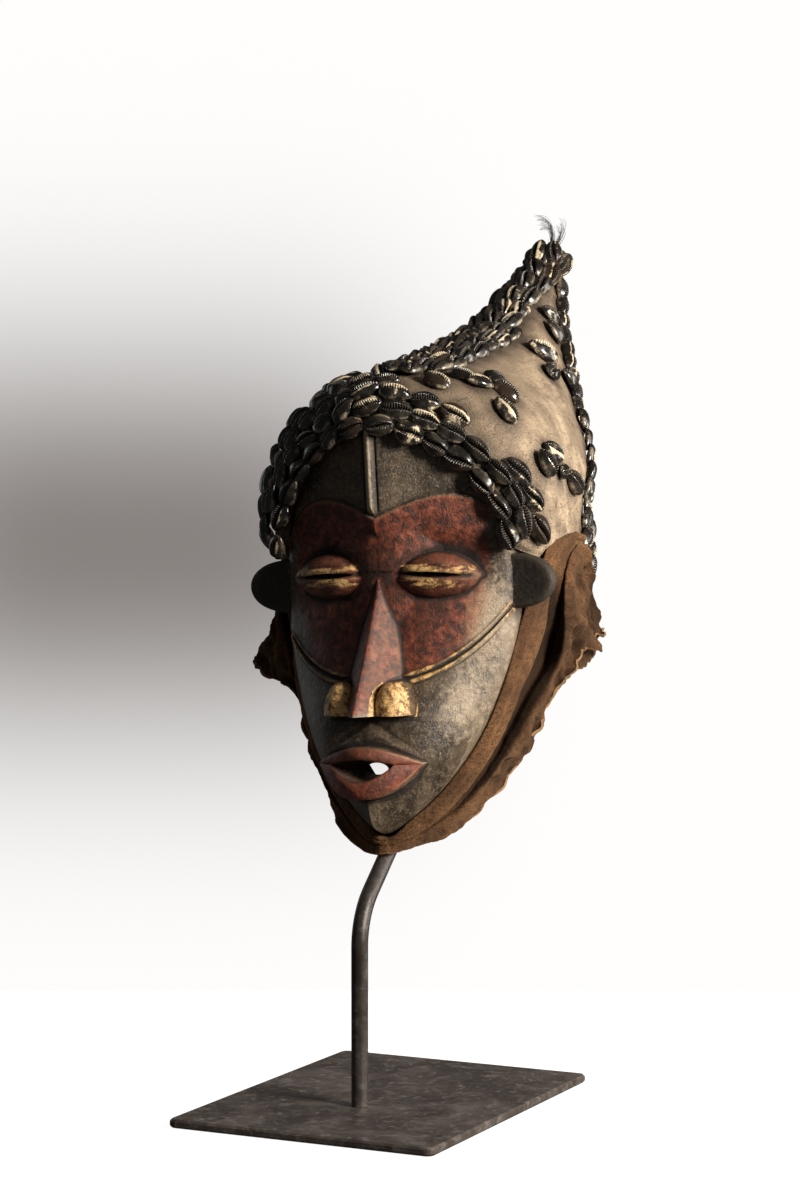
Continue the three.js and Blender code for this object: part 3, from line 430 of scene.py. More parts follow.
middle_y = curve_through([
    (163, -7), (167, -17), (173, -23), (184, -26), (200, -24), (218, -23), (234, -20), (255, -11.5),
    (268, -7), (285, -3), (302, 0), (318, 2.5), (332, 3), (345, -2), (358, -4), (405, -6),
])
edge_y = curve_through([
    (163, -7), (171, -6), (190, 2), (218, 10), (250, 16.5), (278, 21), (300, 23), (350, 22),
    (380, 16), (410, 4),
])
section_power = curve_through([
    (163, 1.05), (180, 1.3), (195, 2.6), (207, 4), (225, 3.6), (245, 3), (267, 2.4), (302, 2.4),
    (330, 1.9), (350, 1.35), (405, 1.4),
])
rim_y = curve_through([(163, 5), (175, 12), (190, 20), (215, 28), (240, 34), (270, 38), (290, 38), (405, 38)])


def base_y(x, z):
    """The face's plain front, before its features."""
    across = np.clip(np.abs(x) / np.maximum(1, face_half(z)), 0, 1)
    return mix(middle_y(z), edge_y(z), across ** section_power(z))


def edge_roll(x, z):
    slope = face_half(z + 0.5) - face_half(z - 0.5)
    inside = (face_half(z) - np.abs(x)) / np.hypot(1, slope)
    over = np.clip(1 - inside / EDGE_ROUND, 0, 1)
    return EDGE_ROUND * 0.8 * (1 - np.sqrt(1 - over * over))


EYE_Z = 316.5
EYE_HALF_HEIGHT = 14.0
EYE_BULGE = 13.5
SLIT_HALF_LENGTH = 18.5
SLIT_HALF_HEIGHT = 1.7
SLIT_DROP = 0.045
SLIT_INNER_SHARES, SLIT_INNER_RISE = (0.72, 0.6), 2.2
SLIT_DEPTHS = (-40, 2, 6, 60)


def eye_x(x):
    return np.where(x < 0, 35.5, 34.0)


def eye_half_length(x):
    return np.where(x < 0, 28.0, 26.0)


def slit_z(x):
    return EYE_Z + 0.8 - SLIT_DROP * (np.abs(x) - eye_x(x))


def lid_along(x):
    return (np.abs(x) - eye_x(x)) / eye_half_length(x)


def lid_height(x):
    return EYE_HALF_HEIGHT * np.maximum(0, 1 - np.abs(lid_along(x)) ** 2.2) ** 0.8


def eye_y(x, z):
    """The lids: a dome over the eye, parted along its middle."""
    along, height = lid_along(x), lid_height(x)
    up = np.where(height > 0.2, (z - EYE_Z) / np.maximum(height, 0.2), 9)
    taper = np.sqrt(np.maximum(0, 1 - np.abs(along) ** 2.2))
    dome = np.sqrt(np.maximum(0, 1 - up * up)) * taper
    seat = mix(4.5, 13, np.clip(0.5 + 0.5 * along, 0, 1))
    # The parting runs the lids' whole length, and a thin line follows it on each lid
    from_slit = z - slit_z(x)
    inside = smooth(1.0, 0.8, np.abs(along))
    parting = 1.5 * bell(from_slit, 1.5) * inside
    lid_line = 0.55 * (bell(from_slit - 5.4, 0.8) + 0.7 * bell(from_slit + 5.0, 0.8))
    lid_line = lid_line * smooth(0.95, 0.6, np.abs(along))
    return np.where(dome > 0, seat - EYE_BULGE * dome + parting + lid_line, 99.0)


def socket_depth(x, z):
    up = (z - EYE_Z - 8) / 17
    return 5 * np.exp(-((0.85 * lid_along(x) + 0.1) ** 4)) * np.exp(-(up * up)) * smooth(298, 306, z)


NOSE_BOTTOM_Z = 235.5
NOSE_SIDE_SLOPE = 1.4
NOSE_RIDGE_ROUND = 1.6
WING_X, WING_Y, WING_Z = 16.5, -23.5, 236.0
WING_ALONG_X, WING_ALONG_Y, WING_ALONG_Z = 11.0, 11.0, 20.0
nose_ridge_y = curve_through([
    (232, -44.5), (238, -43), (246, -39), (263, -29), (286, -17), (304, -8), (313, -4.6),
    (322, -3.2), (332, -1.5),
])


def from_wing(x, z):
    """0 in the middle of a nostril's wing and 1 at its border."""
    return ((np.abs(x) - WING_X) / WING_ALONG_X) ** 2 + ((z - WING_Z) / WING_ALONG_Z) ** 2


def nose_y(x, z):
    side = np.abs(x)
    ridge = nose_ridge_y(z) + NOSE_SIDE_SLOPE * (np.hypot(side, NOSE_RIDGE_ROUND) - NOSE_RIDGE_ROUND)
    share = from_wing(x, z)
    wing = WING_Y - WING_ALONG_Y * np.sqrt(np.maximum(0, 1 - share))
    formed = np.where(share < 1, soft_min(ridge, wing, 1.0), ridge)
    formed = formed + 0.9 * bell(share - 1.08, 0.16) * smooth(6, 9, side)
    return formed + 40 * smooth(NOSE_BOTTOM_Z + 0.3, NOSE_BOTTOM_Z - 1.3, z) + 30 * smooth(320, 340, z)


MOUTH_HALF = 34.5
MOUTH_CORNER_Z = 207.5
LIP_TOP_Z, LIP_BOTTOM_Z = 217.5, 186.5
OPEN_HALF = 20.5
OPEN_TOP_Z, OPEN_BOTTOM_Z = 210.0, 197.5


def lip_edges(x):
    across = np.clip(np.abs(x) / MOUTH_HALF, 0, 1)
    opening = np.clip(np.abs(x) / OPEN_HALF, 0, 1)
    return (
        mix(LIP_TOP_Z, MOUTH_CORNER_Z, across**1.9),
        mix(LIP_BOTTOM_Z, MOUTH_CORNER_Z, across**2.3),
        mix(OPEN_TOP_Z, MOUTH_CORNER_Z - 0.5, opening**2),
        mix(OPEN_BOTTOM_Z, MOUTH_CORNER_Z - 0.5, opening**2),
    )


def lip_y(x, z):
    """Two rolled lips around the open mouth."""
    side = np.abs(x)
    top, bottom, open_top, open_bottom = lip_edges(x)
    across = np.clip(side / MOUTH_HALF, 0, 1)
    upper = z > (open_top + open_bottom) / 2
    inner, outer = np.where(upper, open_top, open_bottom), np.where(upper, top, bottom)
    front = np.where(upper, mix(-38, -21.5, across**1.8), mix(-42, -21.5, across**1.9))
    body = (z - inner) / np.where(np.abs(outer - inner) < 1e-6, 1, outer - inner)
    swell = np.minimum(1, np.abs(body - 0.38) / np.where(body > 0.38, 0.68, 0.55))
    roll = np.where(upper, 4, 7) * (1 - 0.55 * across) * (1 - np.sqrt(1 - swell**2))
    beyond = np.maximum(np.maximum(z - top, bottom - z), side - MOUTH_HALF)
    return np.where(side > MOUTH_HALF + 1, 99.0, front + roll + 30 * smooth(-0.4, 1.2, beyond))


brow_arc = curve_through([
    (0, 351), (12, 356.5), (25, 361.5), (38, 364), (50, 363), (60, 358), (68, 349), (74, 336),
])


def brow_z(x):
    return brow_arc(np.abs(x)) - np.where(x < 0, 0.035 * np.abs(x), 0)


def cheek_line_z(x):
    return 253.6 + np.where(x > 0, 0.0056, 0.0034) * x**2 + 4e-7 * x**4


def from_cheek_line(x, z):
    return (z - cheek_line_z(x)) / np.hypot(1, 0.008 * np.abs(x))


RIDGE_X = -1.8


def from_lip_fold(x, z):
    """Distance below the faint fold that slopes from under the nose to the corners of the mouth."""
    return (233 - 0.62 * np.abs(x) - z) / 1.18


def carved_lines(x, z):
    """The brow's step, the grooves across the cheeks, the forehead's ridge and the upper lip's fold."""
    side = np.abs(x)
    below_brow = brow_z(x) - z
    brow = -1.4 * smooth(-1.2, 0.6, below_brow) * smooth(322, 346, z)
    brow = brow + 0.5 * bell(below_brow + 1.9, 0.8) * smooth(340, 348, z)
    line = from_cheek_line(x, z)
    lines = -1.8 * bell(line + 1.8, 1.4) - 1.1 * bell(line - 2.6, 1.1)
    lines = lines + 0.9 * bell(line - 0.4, 1.0) + 0.5 * bell(line + 4.3, 0.8)
    from_ridge = np.abs(x - RIDGE_X)
    ridge = (-2.8 * bell(from_ridge, 2.5, 4) + 0.8 * bell(from_ridge - 4.0, 0.8)) * smooth(352, 359, z)
    fold = from_lip_fold(x, z)
    lip_form = -1.5 * smooth(0, 4, fold) + 0.35 * bell(fold + 0.6, 0.8)
    lip_form = lip_form * smooth(34, 27, side) * smooth(212, 219, z)
    return brow + smooth(13, 19, side) * lines + ridge + lip_form


KEEL_HEIGHT, KEEL_HALF = 3.2, 25


def keel(x, z):
    """The upper face bends along its middle, so that its two halves are planes of their own."""
    return KEEL_HEIGHT * np.maximum(0, 1 - np.abs(x) / KEEL_HALF) * smooth(296, 314, z)


def face_y(x, z):
    y = base_y(x, z) - keel(x, z) + socket_depth(x, z) + carved_lines(x, z)
    y = soft_min(y, nose_y(x, z), 1.0)
    y = soft_min(y, eye_y(x, z), 0.7)
    y = soft_min(y, lip_y(x, z), 0.7)
    return y + edge_roll(x, z)


def face_levels(x):
    """Heights that rows of the front pass through, from chin to crown: they follow the carving."""
    top, bottom, open_top, open_bottom = lip_edges(x)
    parting = (open_top + open_bottom) / 2
    lid = np.maximum(2.2, 1.04 * lid_height(x))
    same = np.zeros_like(x)
    return np.stack([
        same + FACE_CHIN_Z + 0.4,
        np.minimum(bottom - 1.2, parting - 3.6),
        np.minimum(bottom + 0.4, parting - 2.4),
        np.minimum(open_bottom, parting - 0.8),
        np.maximum(open_top, parting + 0.8),
        np.maximum(top - 0.4, parting + 2.4),
        np.maximum(top + 1.2, parting + 3.6),
        same + NOSE_BOTTOM_Z - 1.3,
        same + NOSE_BOTTOM_Z + 0.3,
        cheek_line_z(x) - 5.5,
        cheek_line_z(x) + 5,
        EYE_Z - lid,
        slit_z(x) - 1.5,
        slit_z(x) + 1.5,
        EYE_Z + lid,
        brow_z(x) - 0.6,
        brow_z(x) + 2.6,
        same + FACE_CROWN_Z - 0.3,
    ])


ROWS_BETWEEN_LEVELS = [24, 3, 15, 6, 8, 3, 16, 3, 13, 16, 34, 15, 4, 14, 26, 5, 46]
COLUMN_FACTOR = 9


def eye_stops(half):
    return [0, 2.4, 8, 61, half]


def mouth_stops(half):
    return [0, OPEN_HALF, MOUTH_HALF, MOUTH_HALF + 1.2, half]


COLUMN_PLANS = [
    (163, lambda half: [0, 0.15 * half, half], [1, 11]),
    (180, mouth_stops, [4, 3, 1, 4]),
    (222, mouth_stops, [4, 3, 1, 4]),
    (233, lambda half: [0, 2.4, 28, 29.5, half], [1, 6, 1, 4]),
    (250, lambda half: [0, 2.4, 24, 26, half], [1, 5, 1, 5]),
    (268, lambda half: [0, 2.4, 15, half], [1, 3, 8]),
    (300, eye_stops, [1, 1, 7, 3]),
    (336, eye_stops, [1, 1, 7, 3]),
    (356, lambda half: [0, 6.5, half], [3, 9]),
]


def plan_columns(plan, half):
    _, stops, counts = plan
    stops = stops(half)
    places = [np.linspace(a, b, n * COLUMN_FACTOR + 1)[1:] for a, b, n in zip(stops, stops[1:], counts)]
    return np.r_[0, np.concatenate(places)]


def columns_at(z, half):
    heights = [plan[0] for plan in COLUMN_PLANS]
    i = int(np.clip(np.searchsorted(heights, z) - 1, 0, len(heights) - 2))
    t = float(smooth(heights[i], heights[i + 1], z))
    columns = mix(plan_columns(COLUMN_PLANS[i], half), plan_columns(COLUMN_PLANS[i + 1], half), t)
    before_last = np.arange(len(columns))[::-1]
    return np.minimum(columns, half * (1 - 0.02 / COLUMN_FACTOR * before_last))


def face_grid():
    """Rows of x and z across the face, each ending on its outline, as two arrays."""
    rows = [(level, step / count) for level, count in enumerate(ROWS_BETWEEN_LEVELS) for step in range(count)]
    rows.append((len(ROWS_BETWEEN_LEVELS) - 1, 1.0))
    level = np.array([row[0] for row in rows])
    share = np.array([row[1] for row in rows])

    def heights(x):
        """Heights of each row at its own x; x has the rows first."""
        levels = face_levels(x)
        each = np.arange(len(rows))
        low, high = levels[level, each], levels[level + 1, each]
        return mix(low, high, share.reshape(-1, *[1] * (x.ndim - 1)))

    middle_z = heights(np.zeros(len(rows)))
    sides = []
    for sign in (-1, 1):
        near, far = np.zeros(len(rows)), np.full(len(rows), FACE_HALF_WIDTH)
        for _ in range(30):
            middle = (near + far) / 2
            inside = middle < face_half(heights(sign * middle))
            near, far = np.where(inside, middle, near), np.where(inside, far, middle)
        sides.append(sign * np.array([columns_at(z, half) for z, half in zip(middle_z, near)]))
    x = np.concatenate([sides[0][:, :0:-1], sides[1]], axis=1)
    return x, heights(x)


def relief_block(x, z, front, back):
    """A closed block: a front surface over a grid of x and z, closed by straight strips behind."""
    rows, width = x.shape
    middle = (width - 1) // 2
    front_points = np.stack([x, front(x, z), z], axis=-1).reshape(-1, 3)
    ends = [0, width - 1]
    back_points = np.stack([x[:, ends], back(z[:, ends]), z[:, ends]], axis=-1).reshape(-1, 3)
    start = rows * width
    faces = [list(f) for f in grid_faces(rows, width)]
    for row in range(rows - 1):
        left, right = start + 2 * row, start + 2 * row + 1
        faces.append([(row + 1) * width - 1, right, right + 2, (row + 2) * width - 1])
        faces.append([left, row * width, (row + 1) * width, left + 2])
        faces.append([right, left, left + 2, right + 2])
    top = (rows - 1) * width
    for column in range(width - 1):
        near = 0 if column < middle else 1
        faces.append([column + 1, column, start + near])
        faces.append([top + column, top + column + 1, start + 2 * (rows - 1) + near])
    faces.append([middle, start, start + 1])
    faces.append([start + 2 * (rows - 1), top + middle, start + 2 * (rows - 1) + 1])
    return np.concatenate([front_points, back_points]), faces


HOLLOW_LOW_Z, HOLLOW_HIGH_Z, HOLLOW_BACK_Y = 176.0, 400.0, 70.0
HOLLOW_ROWS, HOLLOW_COLUMNS = 90, 71


def hollow_block():
    """What is cut out behind the face; it follows the face's front at the wall's thickness."""
    def half_at(z):
        inner = face_half(z) - RIM_WIDTH - 9 * smooth(224, 186, z)
        return np.maximum(4, inner - 4 * smooth(380, HOLLOW_HIGH_Z, z))

    def wall_y(x, z):
        spread = x * face_half(z) / half_at(z)
        over_eye = 3 * bell(lid_along(x), 1, 4) * bell(z - 326, 16)
        tool_marks = 0.5 * np.sin(x / 2.6 + 1.5 * np.sin(z / 19)) * np.sin(z / 7 + x / 31)
        return np.minimum(rim_y(z) - 1, base_y(spread * 0.94, z) + WOOD_WALL + over_eye + tool_marks)

    rows = np.linspace(HOLLOW_LOW_Z, HOLLOW_HIGH_Z, HOLLOW_ROWS)[:, None]
    shares = np.sin(np.linspace(-np.pi / 2, np.pi / 2, HOLLOW_COLUMNS))[None, :]
    return relief_block(shares * half_at(rows), rows + 0 * shares, wall_y, lambda z: 0 * z + HOLLOW_BACK_Y)


def tunnel(outlines, depths):
    """A closed block along y through the given outlines of x and z."""
    rings = [np.insert(outline, 1, y, axis=1) for outline, y in zip(outlines, depths)]
    return np.concatenate(rings), tube_faces(len(rings), len(outlines[0]), flipped=True)


def lens(centre_x, half_length, edges, steps):
    """An outline between two ends; edges gives its bottom and top z for x and for the share of its length."""
    along = np.cos(np.linspace(np.pi, 0, steps + 1))
    x = centre_x + along * half_length
    lower, upper = (np.stack([x, edge], axis=1) for edge in edges(x, along))
    return np.concatenate([lower, upper[-2:0:-1]])


def eye_slit(side):
    """The slit narrows and rises behind the lids, so that no light shows through it."""
    def edges(x, along):
        swell = SLIT_HALF_HEIGHT * (1 - along**2) ** 0.7
        return slit_z(x) - swell - 0.02, slit_z(x) + swell + 0.02

    centre = side * float(eye_x(side))
    outline = lens(centre, SLIT_HALF_LENGTH, edges, 40)
    within = (outline - (centre, EYE_Z)) * SLIT_INNER_SHARES + (centre, EYE_Z + SLIT_INNER_RISE)
    return tunnel([outline, outline, within, within], SLIT_DEPTHS)


INNER_HALF, INNER_BOTTOM_Z, INNER_TOP_Z = 7.4, 199.7, 206.7
MOUTH_DEPTHS = (-60, -27, -13, 60)


def mouth_hole():
    """The opening narrows behind the lips, like a funnel."""
    def outer_edges(x, along):
        _, _, open_top, open_bottom = lip_edges(x)
        return open_bottom, open_top

    def inner_edges(x, along):
        middle, half = (INNER_BOTTOM_Z + INNER_TOP_Z) / 2, (INNER_TOP_Z - INNER_BOTTOM_Z) / 2
        swell = half * (1 - along**2) ** 0.6
        return middle - swell, middle + swell

    outer = lens(0, OPEN_HALF, outer_edges, 60)
    inner = lens(0, INNER_HALF, inner_edges, 60)
    return tunnel([outer, outer, inner, inner], MOUTH_DEPTHS)


EAR_INNER_X, EAR_OUTER_X, EAR_LEFT_EXTRA, EAR_FRONT_Y, EAR_THICKNESS = 70.0, 100.5, 3.0, 24.5, 8.5
EAR_Z, EAR_RIGHT_RISE, EAR_HALF_HEIGHT = 311.0, 1, 16.5


def ear_lug(side):
    """A thick half disc with a rounded rim, standing out from the temple."""
    turns = np.linspace(-np.pi / 2, np.pi / 2, 61)
    reach = EAR_OUTER_X - EAR_INNER_X + (EAR_LEFT_EXTRA if side < 0 else 0)
    rim_x = reach * np.maximum(np.cos(turns), 0) ** 0.75
    rim_z = EAR_HALF_HEIGHT * np.sin(turns)
    half = EAR_THICKNESS / 2
    profile = [(s, -1) for s in np.linspace(0, 0.9, 10)]
    profile += [(0.9 + 0.1 * np.sin(a), -np.cos(a)) for a in np.linspace(0.2, np.pi - 0.2, 11)]
    profile += [(s, 1) for s in np.linspace(0.9, 0, 10)]
    points = []
    for share, depth in profile:
        dished = 0.7 * smooth(0.9, 0.3, share) if depth < 0 else 0
        x = side * (EAR_INNER_X + rim_x * share)
        z = EAR_Z + (EAR_RIGHT_RISE if side > 0 else 0) + rim_z * (0.02 + 0.98 * share)
        points.append(np.stack([x, 0 * x + EAR_FRONT_Y + half + half * depth + dished, z], axis=1))
    return np.concatenate(points), tube_faces(len(points), len(turns), flipped=side > 0)


def cut_or_join(target, tools, operation):
    for points, faces in tools:
        tool = make_mesh("tool", points, faces)
        modifier = target.modifiers.new("shape", "BOOLEAN")
        modifier.operation = operation
        modifier.solver = "MANIFOLD"
        modifier.object = tool
        bpy.context.view_layer.update()
        shaped = bpy.data.meshes.new_from_object(target.evaluated_get(bpy.context.evaluated_depsgraph_get()))
        target.modifiers.clear()
        target.data = shaped
        bpy.data.objects.remove(tool)


HOLLOW_ROUNDS, WIDE_HOLLOW_ROUNDS = 16, 90


def face_paint(mesh):
    """Where the wood is painted red, rubbed with ochre, worn pale or left raw, as attributes; pale also
    carries painted highlights, and dark carries painted shade beside dark paint.
    """
    x, y, z = rolled(vectors_of(mesh.vertices, "co") / MM, -MASK_ROLL).T
    side = np.abs(x)
    top, bottom, open_top, open_bottom = lip_edges(x)
    front = smooth(4.0, 1.5, y - face_y(x, z)) * (side < face_half(z) + 1)
    uneven = ripple(np.stack([x, 0 * x, z], axis=1), 26, 3)
    on_nose = smooth(2.6, 1.2, np.abs(y - nose_y(x, z))) * (z < 330)
    line = from_cheek_line(x, z)
    above_line = np.where(side > 13, smooth(2.2, 4.2, line), smooth(240, 243, z))
    limit = mix(50, 66, smooth(262, 335, z)) + 3 * uneven
    upper_red = smooth(-0.2, 0.8, brow_z(x) - z) * above_line * smooth(limit + 7, limit - 7, side)
    lips = (side < MOUTH_HALF) * smooth(-0.3, 0.7, np.minimum(top - z, z - bottom))
    nose_red = on_nose * smooth(236.5, 238.5, z)
    red = np.clip(np.maximum(np.maximum(upper_red, lips), 1.5 * nose_red), 0, 1)
    wing = 1.3 * smooth(1.42, 1.3, from_wing(x, z)) * (z > NOSE_BOTTOM_Z - 1)
    wing = wing * smooth(5, 8, side) * smooth(259, 250, z)
    from_slit = z - slit_z(x)
    along = lid_along(x)
    on_lid = smooth(1.0, 0.82, np.abs(along)) * (np.abs(z - EYE_Z) < lid_height(x) + 1)
    smears = 0.72 + 0.5 * ripple(np.stack([x * 0.6, 0 * x, z * 2], axis=1), 9, 21)
    above = bell(from_slit - 3.2, 3.2) * smooth(-1.0, -0.55, along)
    below = bell(from_slit + 4.5, 4.0) * bell(along + 0.05, 0.7)
    lids = np.clip(1.35 * on_lid * smears * np.maximum(above, below), 0, 1)
    streaks = 0.85 + 0.35 * ripple(np.stack([x, 0 * x, z], axis=1), 13, 22)
    ridges = streaks * np.maximum(bell(line + 1.8, 1.8), 0.85 * bell(line - 2.7, 1.5))
    ridges = ridges * smooth(14, 18, side) * np.where(x < 0, 0.75, 1)
    gold = np.clip(np.maximum(np.maximum(wing, lids), ridges), 0, 1)
    # Painted shade: the creases round the lids and the eyes' inner corners are painted dark, more above the
    # eye than below.
    off_lid = np.abs(z - EYE_Z) - lid_height(x)
    shade_around_lid = bell(off_lid - 1.5, 2.4) * smooth(1.12, 1.0, np.abs(along)) * np.where(z > EYE_Z, 0.75, 0.5)
    inner_corner_shade = np.exp(-(((along + 1.05) * 2.6) ** 2) - ((z - EYE_Z - 1) / 9) ** 2) * (1 - on_lid)
    on_ridge = bell(np.abs(x - RIDGE_X), 2.4, 4) * smooth(351, 356, z)
    # Painted highlight: the right part of the brow's rim is painted pale, where it faces the light.
    brow_rim_highlight = bell(brow_z(x) - z + 0.7, 1.1) * smooth(20, 60, x)
    # The right cheek's pale patch is partly wear and partly a painted highlight.
    cheek_wear_and_highlight = bell(x - 63, 15) * bell(z - 292, 34) + 0.8 * bell(x - 50, 16) * bell(z - 240, 28)
    # The lips' edges are painted pale towards the right: partly wear, partly a painted highlight.
    lip_edge_wear_and_highlight = np.maximum(bell(top - z - 0.7, 0.6), bell(z - bottom - 0.8, 0.6))
    lip_edge_wear_and_highlight = lip_edge_wear_and_highlight * (side < MOUTH_HALF) * smooth(-12, 8, x)
    # Painted light: the nose's right facet, which faces the light, is painted paler.
    lit_nose_facet = on_nose * smooth(0.5, 3, x) * smooth(236, 240, z) * (1 - np.clip(wing, 0, 1))
    pale = np.clip(np.maximum.reduce([0.52 * lit_nose_facet, on_ridge, 0.7 * brow_rim_highlight, cheek_wear_and_highlight, 0.9 * lip_edge_wear_and_highlight]), 0, 1)
    by_ridge = bell(np.abs(x - RIDGE_X) - 4.4, 1.3) * smooth(350, 356, z)
    grooves = np.maximum(by_ridge, 0.8 * bell(line - 0.4, 1.1) * smooth(13, 18, side))
    # Painted shade: the wood along the eye slits is painted dark.
    slit = bell(from_slit, 1.9) * on_lid
    ears = smooth(-2, 1, side - face_half(z)) * (z > 288) * (z < 334)
    # Painted shade: the walls of the mouth's opening are painted dark.
    mouth_opening_shade = (side < OPEN_HALF) * smooth(-1.2, 0.6, np.minimum(open_top - z, z - open_bottom))
    eye_recess_shade = np.maximum(shade_around_lid, 0.85 * inner_corner_shade) * (z < 345)
    on_bare_lid = 0.3 * on_lid * (1 - lids)
    # Dark marks: dark paint on the ears and bare lids, darkened grooves, and painted shade at the eye slits,
    # the mouth's opening and the eye recesses.
    dark = np.clip(np.maximum.reduce([grooves, slit, 0.9 * ears, mouth_opening_shade, eye_recess_shade, on_bare_lid]), 0, 1)
    for name, values in (("red", red), ("gold", gold), ("pale", pale), ("lips", lips)):
        set_attribute(mesh, name, values * front)
    set_attribute(mesh, "dark", dark)
    set_attribute(mesh, "inside", 1 - np.maximum(front, ears))
    set_attribute(mesh, "hollow", hollowness(mesh, HOLLOW_ROUNDS))
    set_attribute(mesh, "wide_hollow", hollowness(mesh, WIDE_HOLLOW_ROUNDS))


def wood_material():
    nodes = Nodes("carved_wood")
    where = nodes.place()
    coarse = nodes.noise(where, 55, 5, 0.6)
    middling = nodes.noise(where, 210, 5, 0.65, 0.3)
    mottle = nodes.noise(where, 200, 6, 0.64, 0.3)
    spots = nodes.noise(where, 620, 3, 0.6)
    fine = nodes.noise(where, 900, 4, 0.7)
    grain = nodes.noise(nodes.place((1, 1, 0.12)), 420, 4, 0.6)
    drawn_out = nodes.noise(nodes.place((0.3, 1, 1)), 420, 4, 0.6)
    red, gold, pale, lips = nodes.values("red", "gold", "pale", "lips")
    dark, inside, hollow, wide = nodes.values("dark", "inside", "hollow", "wide_hollow")

    wood = nodes.layers(
        (0.036, 0.026, 0.017),
        (coarse, 0.38, 0.62, 1, (0.115, 0.08, 0.048)),
        (middling, 0.5, 0.62, 0.5, (0.2, 0.148, 0.096)),
        (spots, 0.56, 0.66, 0.5, (0.36, 0.28, 0.18)),
        (fine, 0.52, 0.62, 0.6, (0.024, 0.016, 0.01)),
    )
    paint = nodes.layers(
        (0.055, 0.018, 0.011),
        (mottle, 0.4, 0.58, 1, (0.2, 0.048, 0.023)),
        (mottle, 0.56, 0.68, 0.6, (0.4, 0.135, 0.07)),
        (coarse, 0.46, 0.66, 0.5, (0.1, 0.036, 0.018)),
        (fine, 0.56, 0.7, 0.35, (0.05, 0.02, 0.012)),
    )
    paint = nodes.mix(0.15 * lips, paint, (0.28, 0.075, 0.04))
    rubbed = nodes.fade(-3.0 * hollow + 1.6 * (mottle - 0.5), 0.35, 1.0, 0, 0.34)
    rubbed = rubbed * nodes.fade(lips, 0, 1, 1, 0.45)
    rubbed_colour = nodes.mix(red, (0.34, 0.26, 0.17), (0.4, 0.15, 0.075))
    specks = nodes.fade(0.65 * mottle + 0.35 * fine, 0.42, 0.56)
    gilding = nodes.mix(specks, (0.16, 0.07, 0.022), (0.88, 0.54, 0.215))
    # The pale colour paints wear, and also the painted highlights that the pale marks carry.
    worn = nodes.mix(nodes.fade(fine, 0.35, 0.65), (0.32, 0.24, 0.155), (0.58, 0.46, 0.32))
    worn = nodes.mix(0.85 * red, worn, (0.4, 0.185, 0.09))
    raw = nodes.mix(nodes.fade(grain, 0.35, 0.65), (0.05, 0.03, 0.018), (0.13, 0.08, 0.045))
    # Darker, and rougher, the deeper a point lies in a hollow, narrow and broad alike.
    hollow_darkening = nodes.clamp(nodes.fade(hollow, 0.05, 0.55) + nodes.fade(wide, 0.5, 3.2, 0, 0.55))

    colour = nodes.layers(wood, (red + 0.9 * (middling - 0.5), 0.35, 0.62, 1, paint))
    colour = nodes.mix(rubbed, colour, rubbed_colour)
    colour = nodes.layers(
        colour,
        (gold + 1.6 * (drawn_out - 0.5), 0.45, 0.75, 1, gilding),
        (pale + 1.2 * (middling - 0.5), 0.35, 1.0, 0.85, worn),
    )
    colour = nodes.mix(0.85 * hollow_darkening, colour, (0.016, 0.011, 0.008))
    # Near black where marked dark: dark paint, and painted shade in the slits, the mouth's opening and the
    # eye recesses.
    colour = nodes.mix(0.93 * dark, colour, (0.012, 0.008, 0.006))
    colour = nodes.mix(inside, colour, raw)
    roughness = nodes.fade(middling, 0.3, 0.7, 0.32, 0.54) + 0.06 * red + 0.2 * hollow_darkening + 0.3 * (inside + dark)
    relief = 0.7 * middling + 0.35 * fine + grain * (inside + 0.15)
    return nodes.surface(
        Base_Color=colour, Roughness=nodes.clamp(roughness), Specular_IOR_Level=0.5, Coat_Weight=0.06,
        Coat_Roughness=0.3, Normal=nodes.bump(relief, 0.0013, 0.95),
    )


def build_face():
    x, z = face_grid()
    points, faces = relief_block(x, z, face_y, rim_y)
    face = make_mesh("face_mask_carved", points, faces)
    cut_or_join(face, [ear_lug(1), ear_lug(-1)], "UNION")
    cut_or_join(face, [hollow_block(), eye_slit(1), eye_slit(-1), mouth_hole()], "DIFFERENCE")
    face_paint(face.data)
    return finish_piece(face, wood_material(), ["face_mask"], crease=42)


# Hood

HIDE_THICKNESS = 2.6
HOOD_LEAN = 11.0
# Lines from the hood's edge to its tip, from over the brow round to the back
HOOD_LINES = np.array([
    [(0, -11, 404), (0, -8.5, 419), (0, 9, 434.5), (0, 64, 445.5), (0, 150, 467.5), (0, 201, 495),
     (0, 245, 524)],
    [(44, 3.5, 387), (51, 7, 400), (57, 26, 421.5), (47, 82, 436.5), (29, 158, 462), (13, 207, 493),
     (5, 246, 524)],
    [(67.5, 14.5, 358), (78, 19, 365), (88, 44, 386), (73, 102, 412), (42, 168, 446), (18, 214, 487),
     (7, 248, 521.5)],
    [(74, 19, 335), (83, 25, 337), (90, 50, 345), (80, 122, 378), (49, 177, 424), (21, 221, 477),
     (7.5, 251, 519)],
    [(84, 44, 325), (87, 48, 329), (89, 66, 340), (77, 132, 375), (48, 183, 423), (19, 225, 477),
     (7, 253, 518)],
    [(86, 76, 319), (86.5, 84, 326), (85.5, 98, 337), (73, 139, 372), (46, 187, 423), (18, 228, 476),
     (6.5, 254, 517)],
    [(78, 127, 308), (74, 133, 320), (68, 145, 345), (52, 169, 386), (34, 196, 433), (16, 227, 480),
     (4.5, 256, 515.5)],
    [(0, 164, 290), (0, 168, 305), (0, 177, 340), (0, 192, 384), (0, 210, 432), (0, 233, 480),
     (0, 257, 515)],
], float)
HOOD_BACK = len(HOOD_LINES) - 1
HOOD_STEPS = HOOD_LINES.shape[1] - 1
MIRROR = np.array([-1.0, 1.0, 1.0])
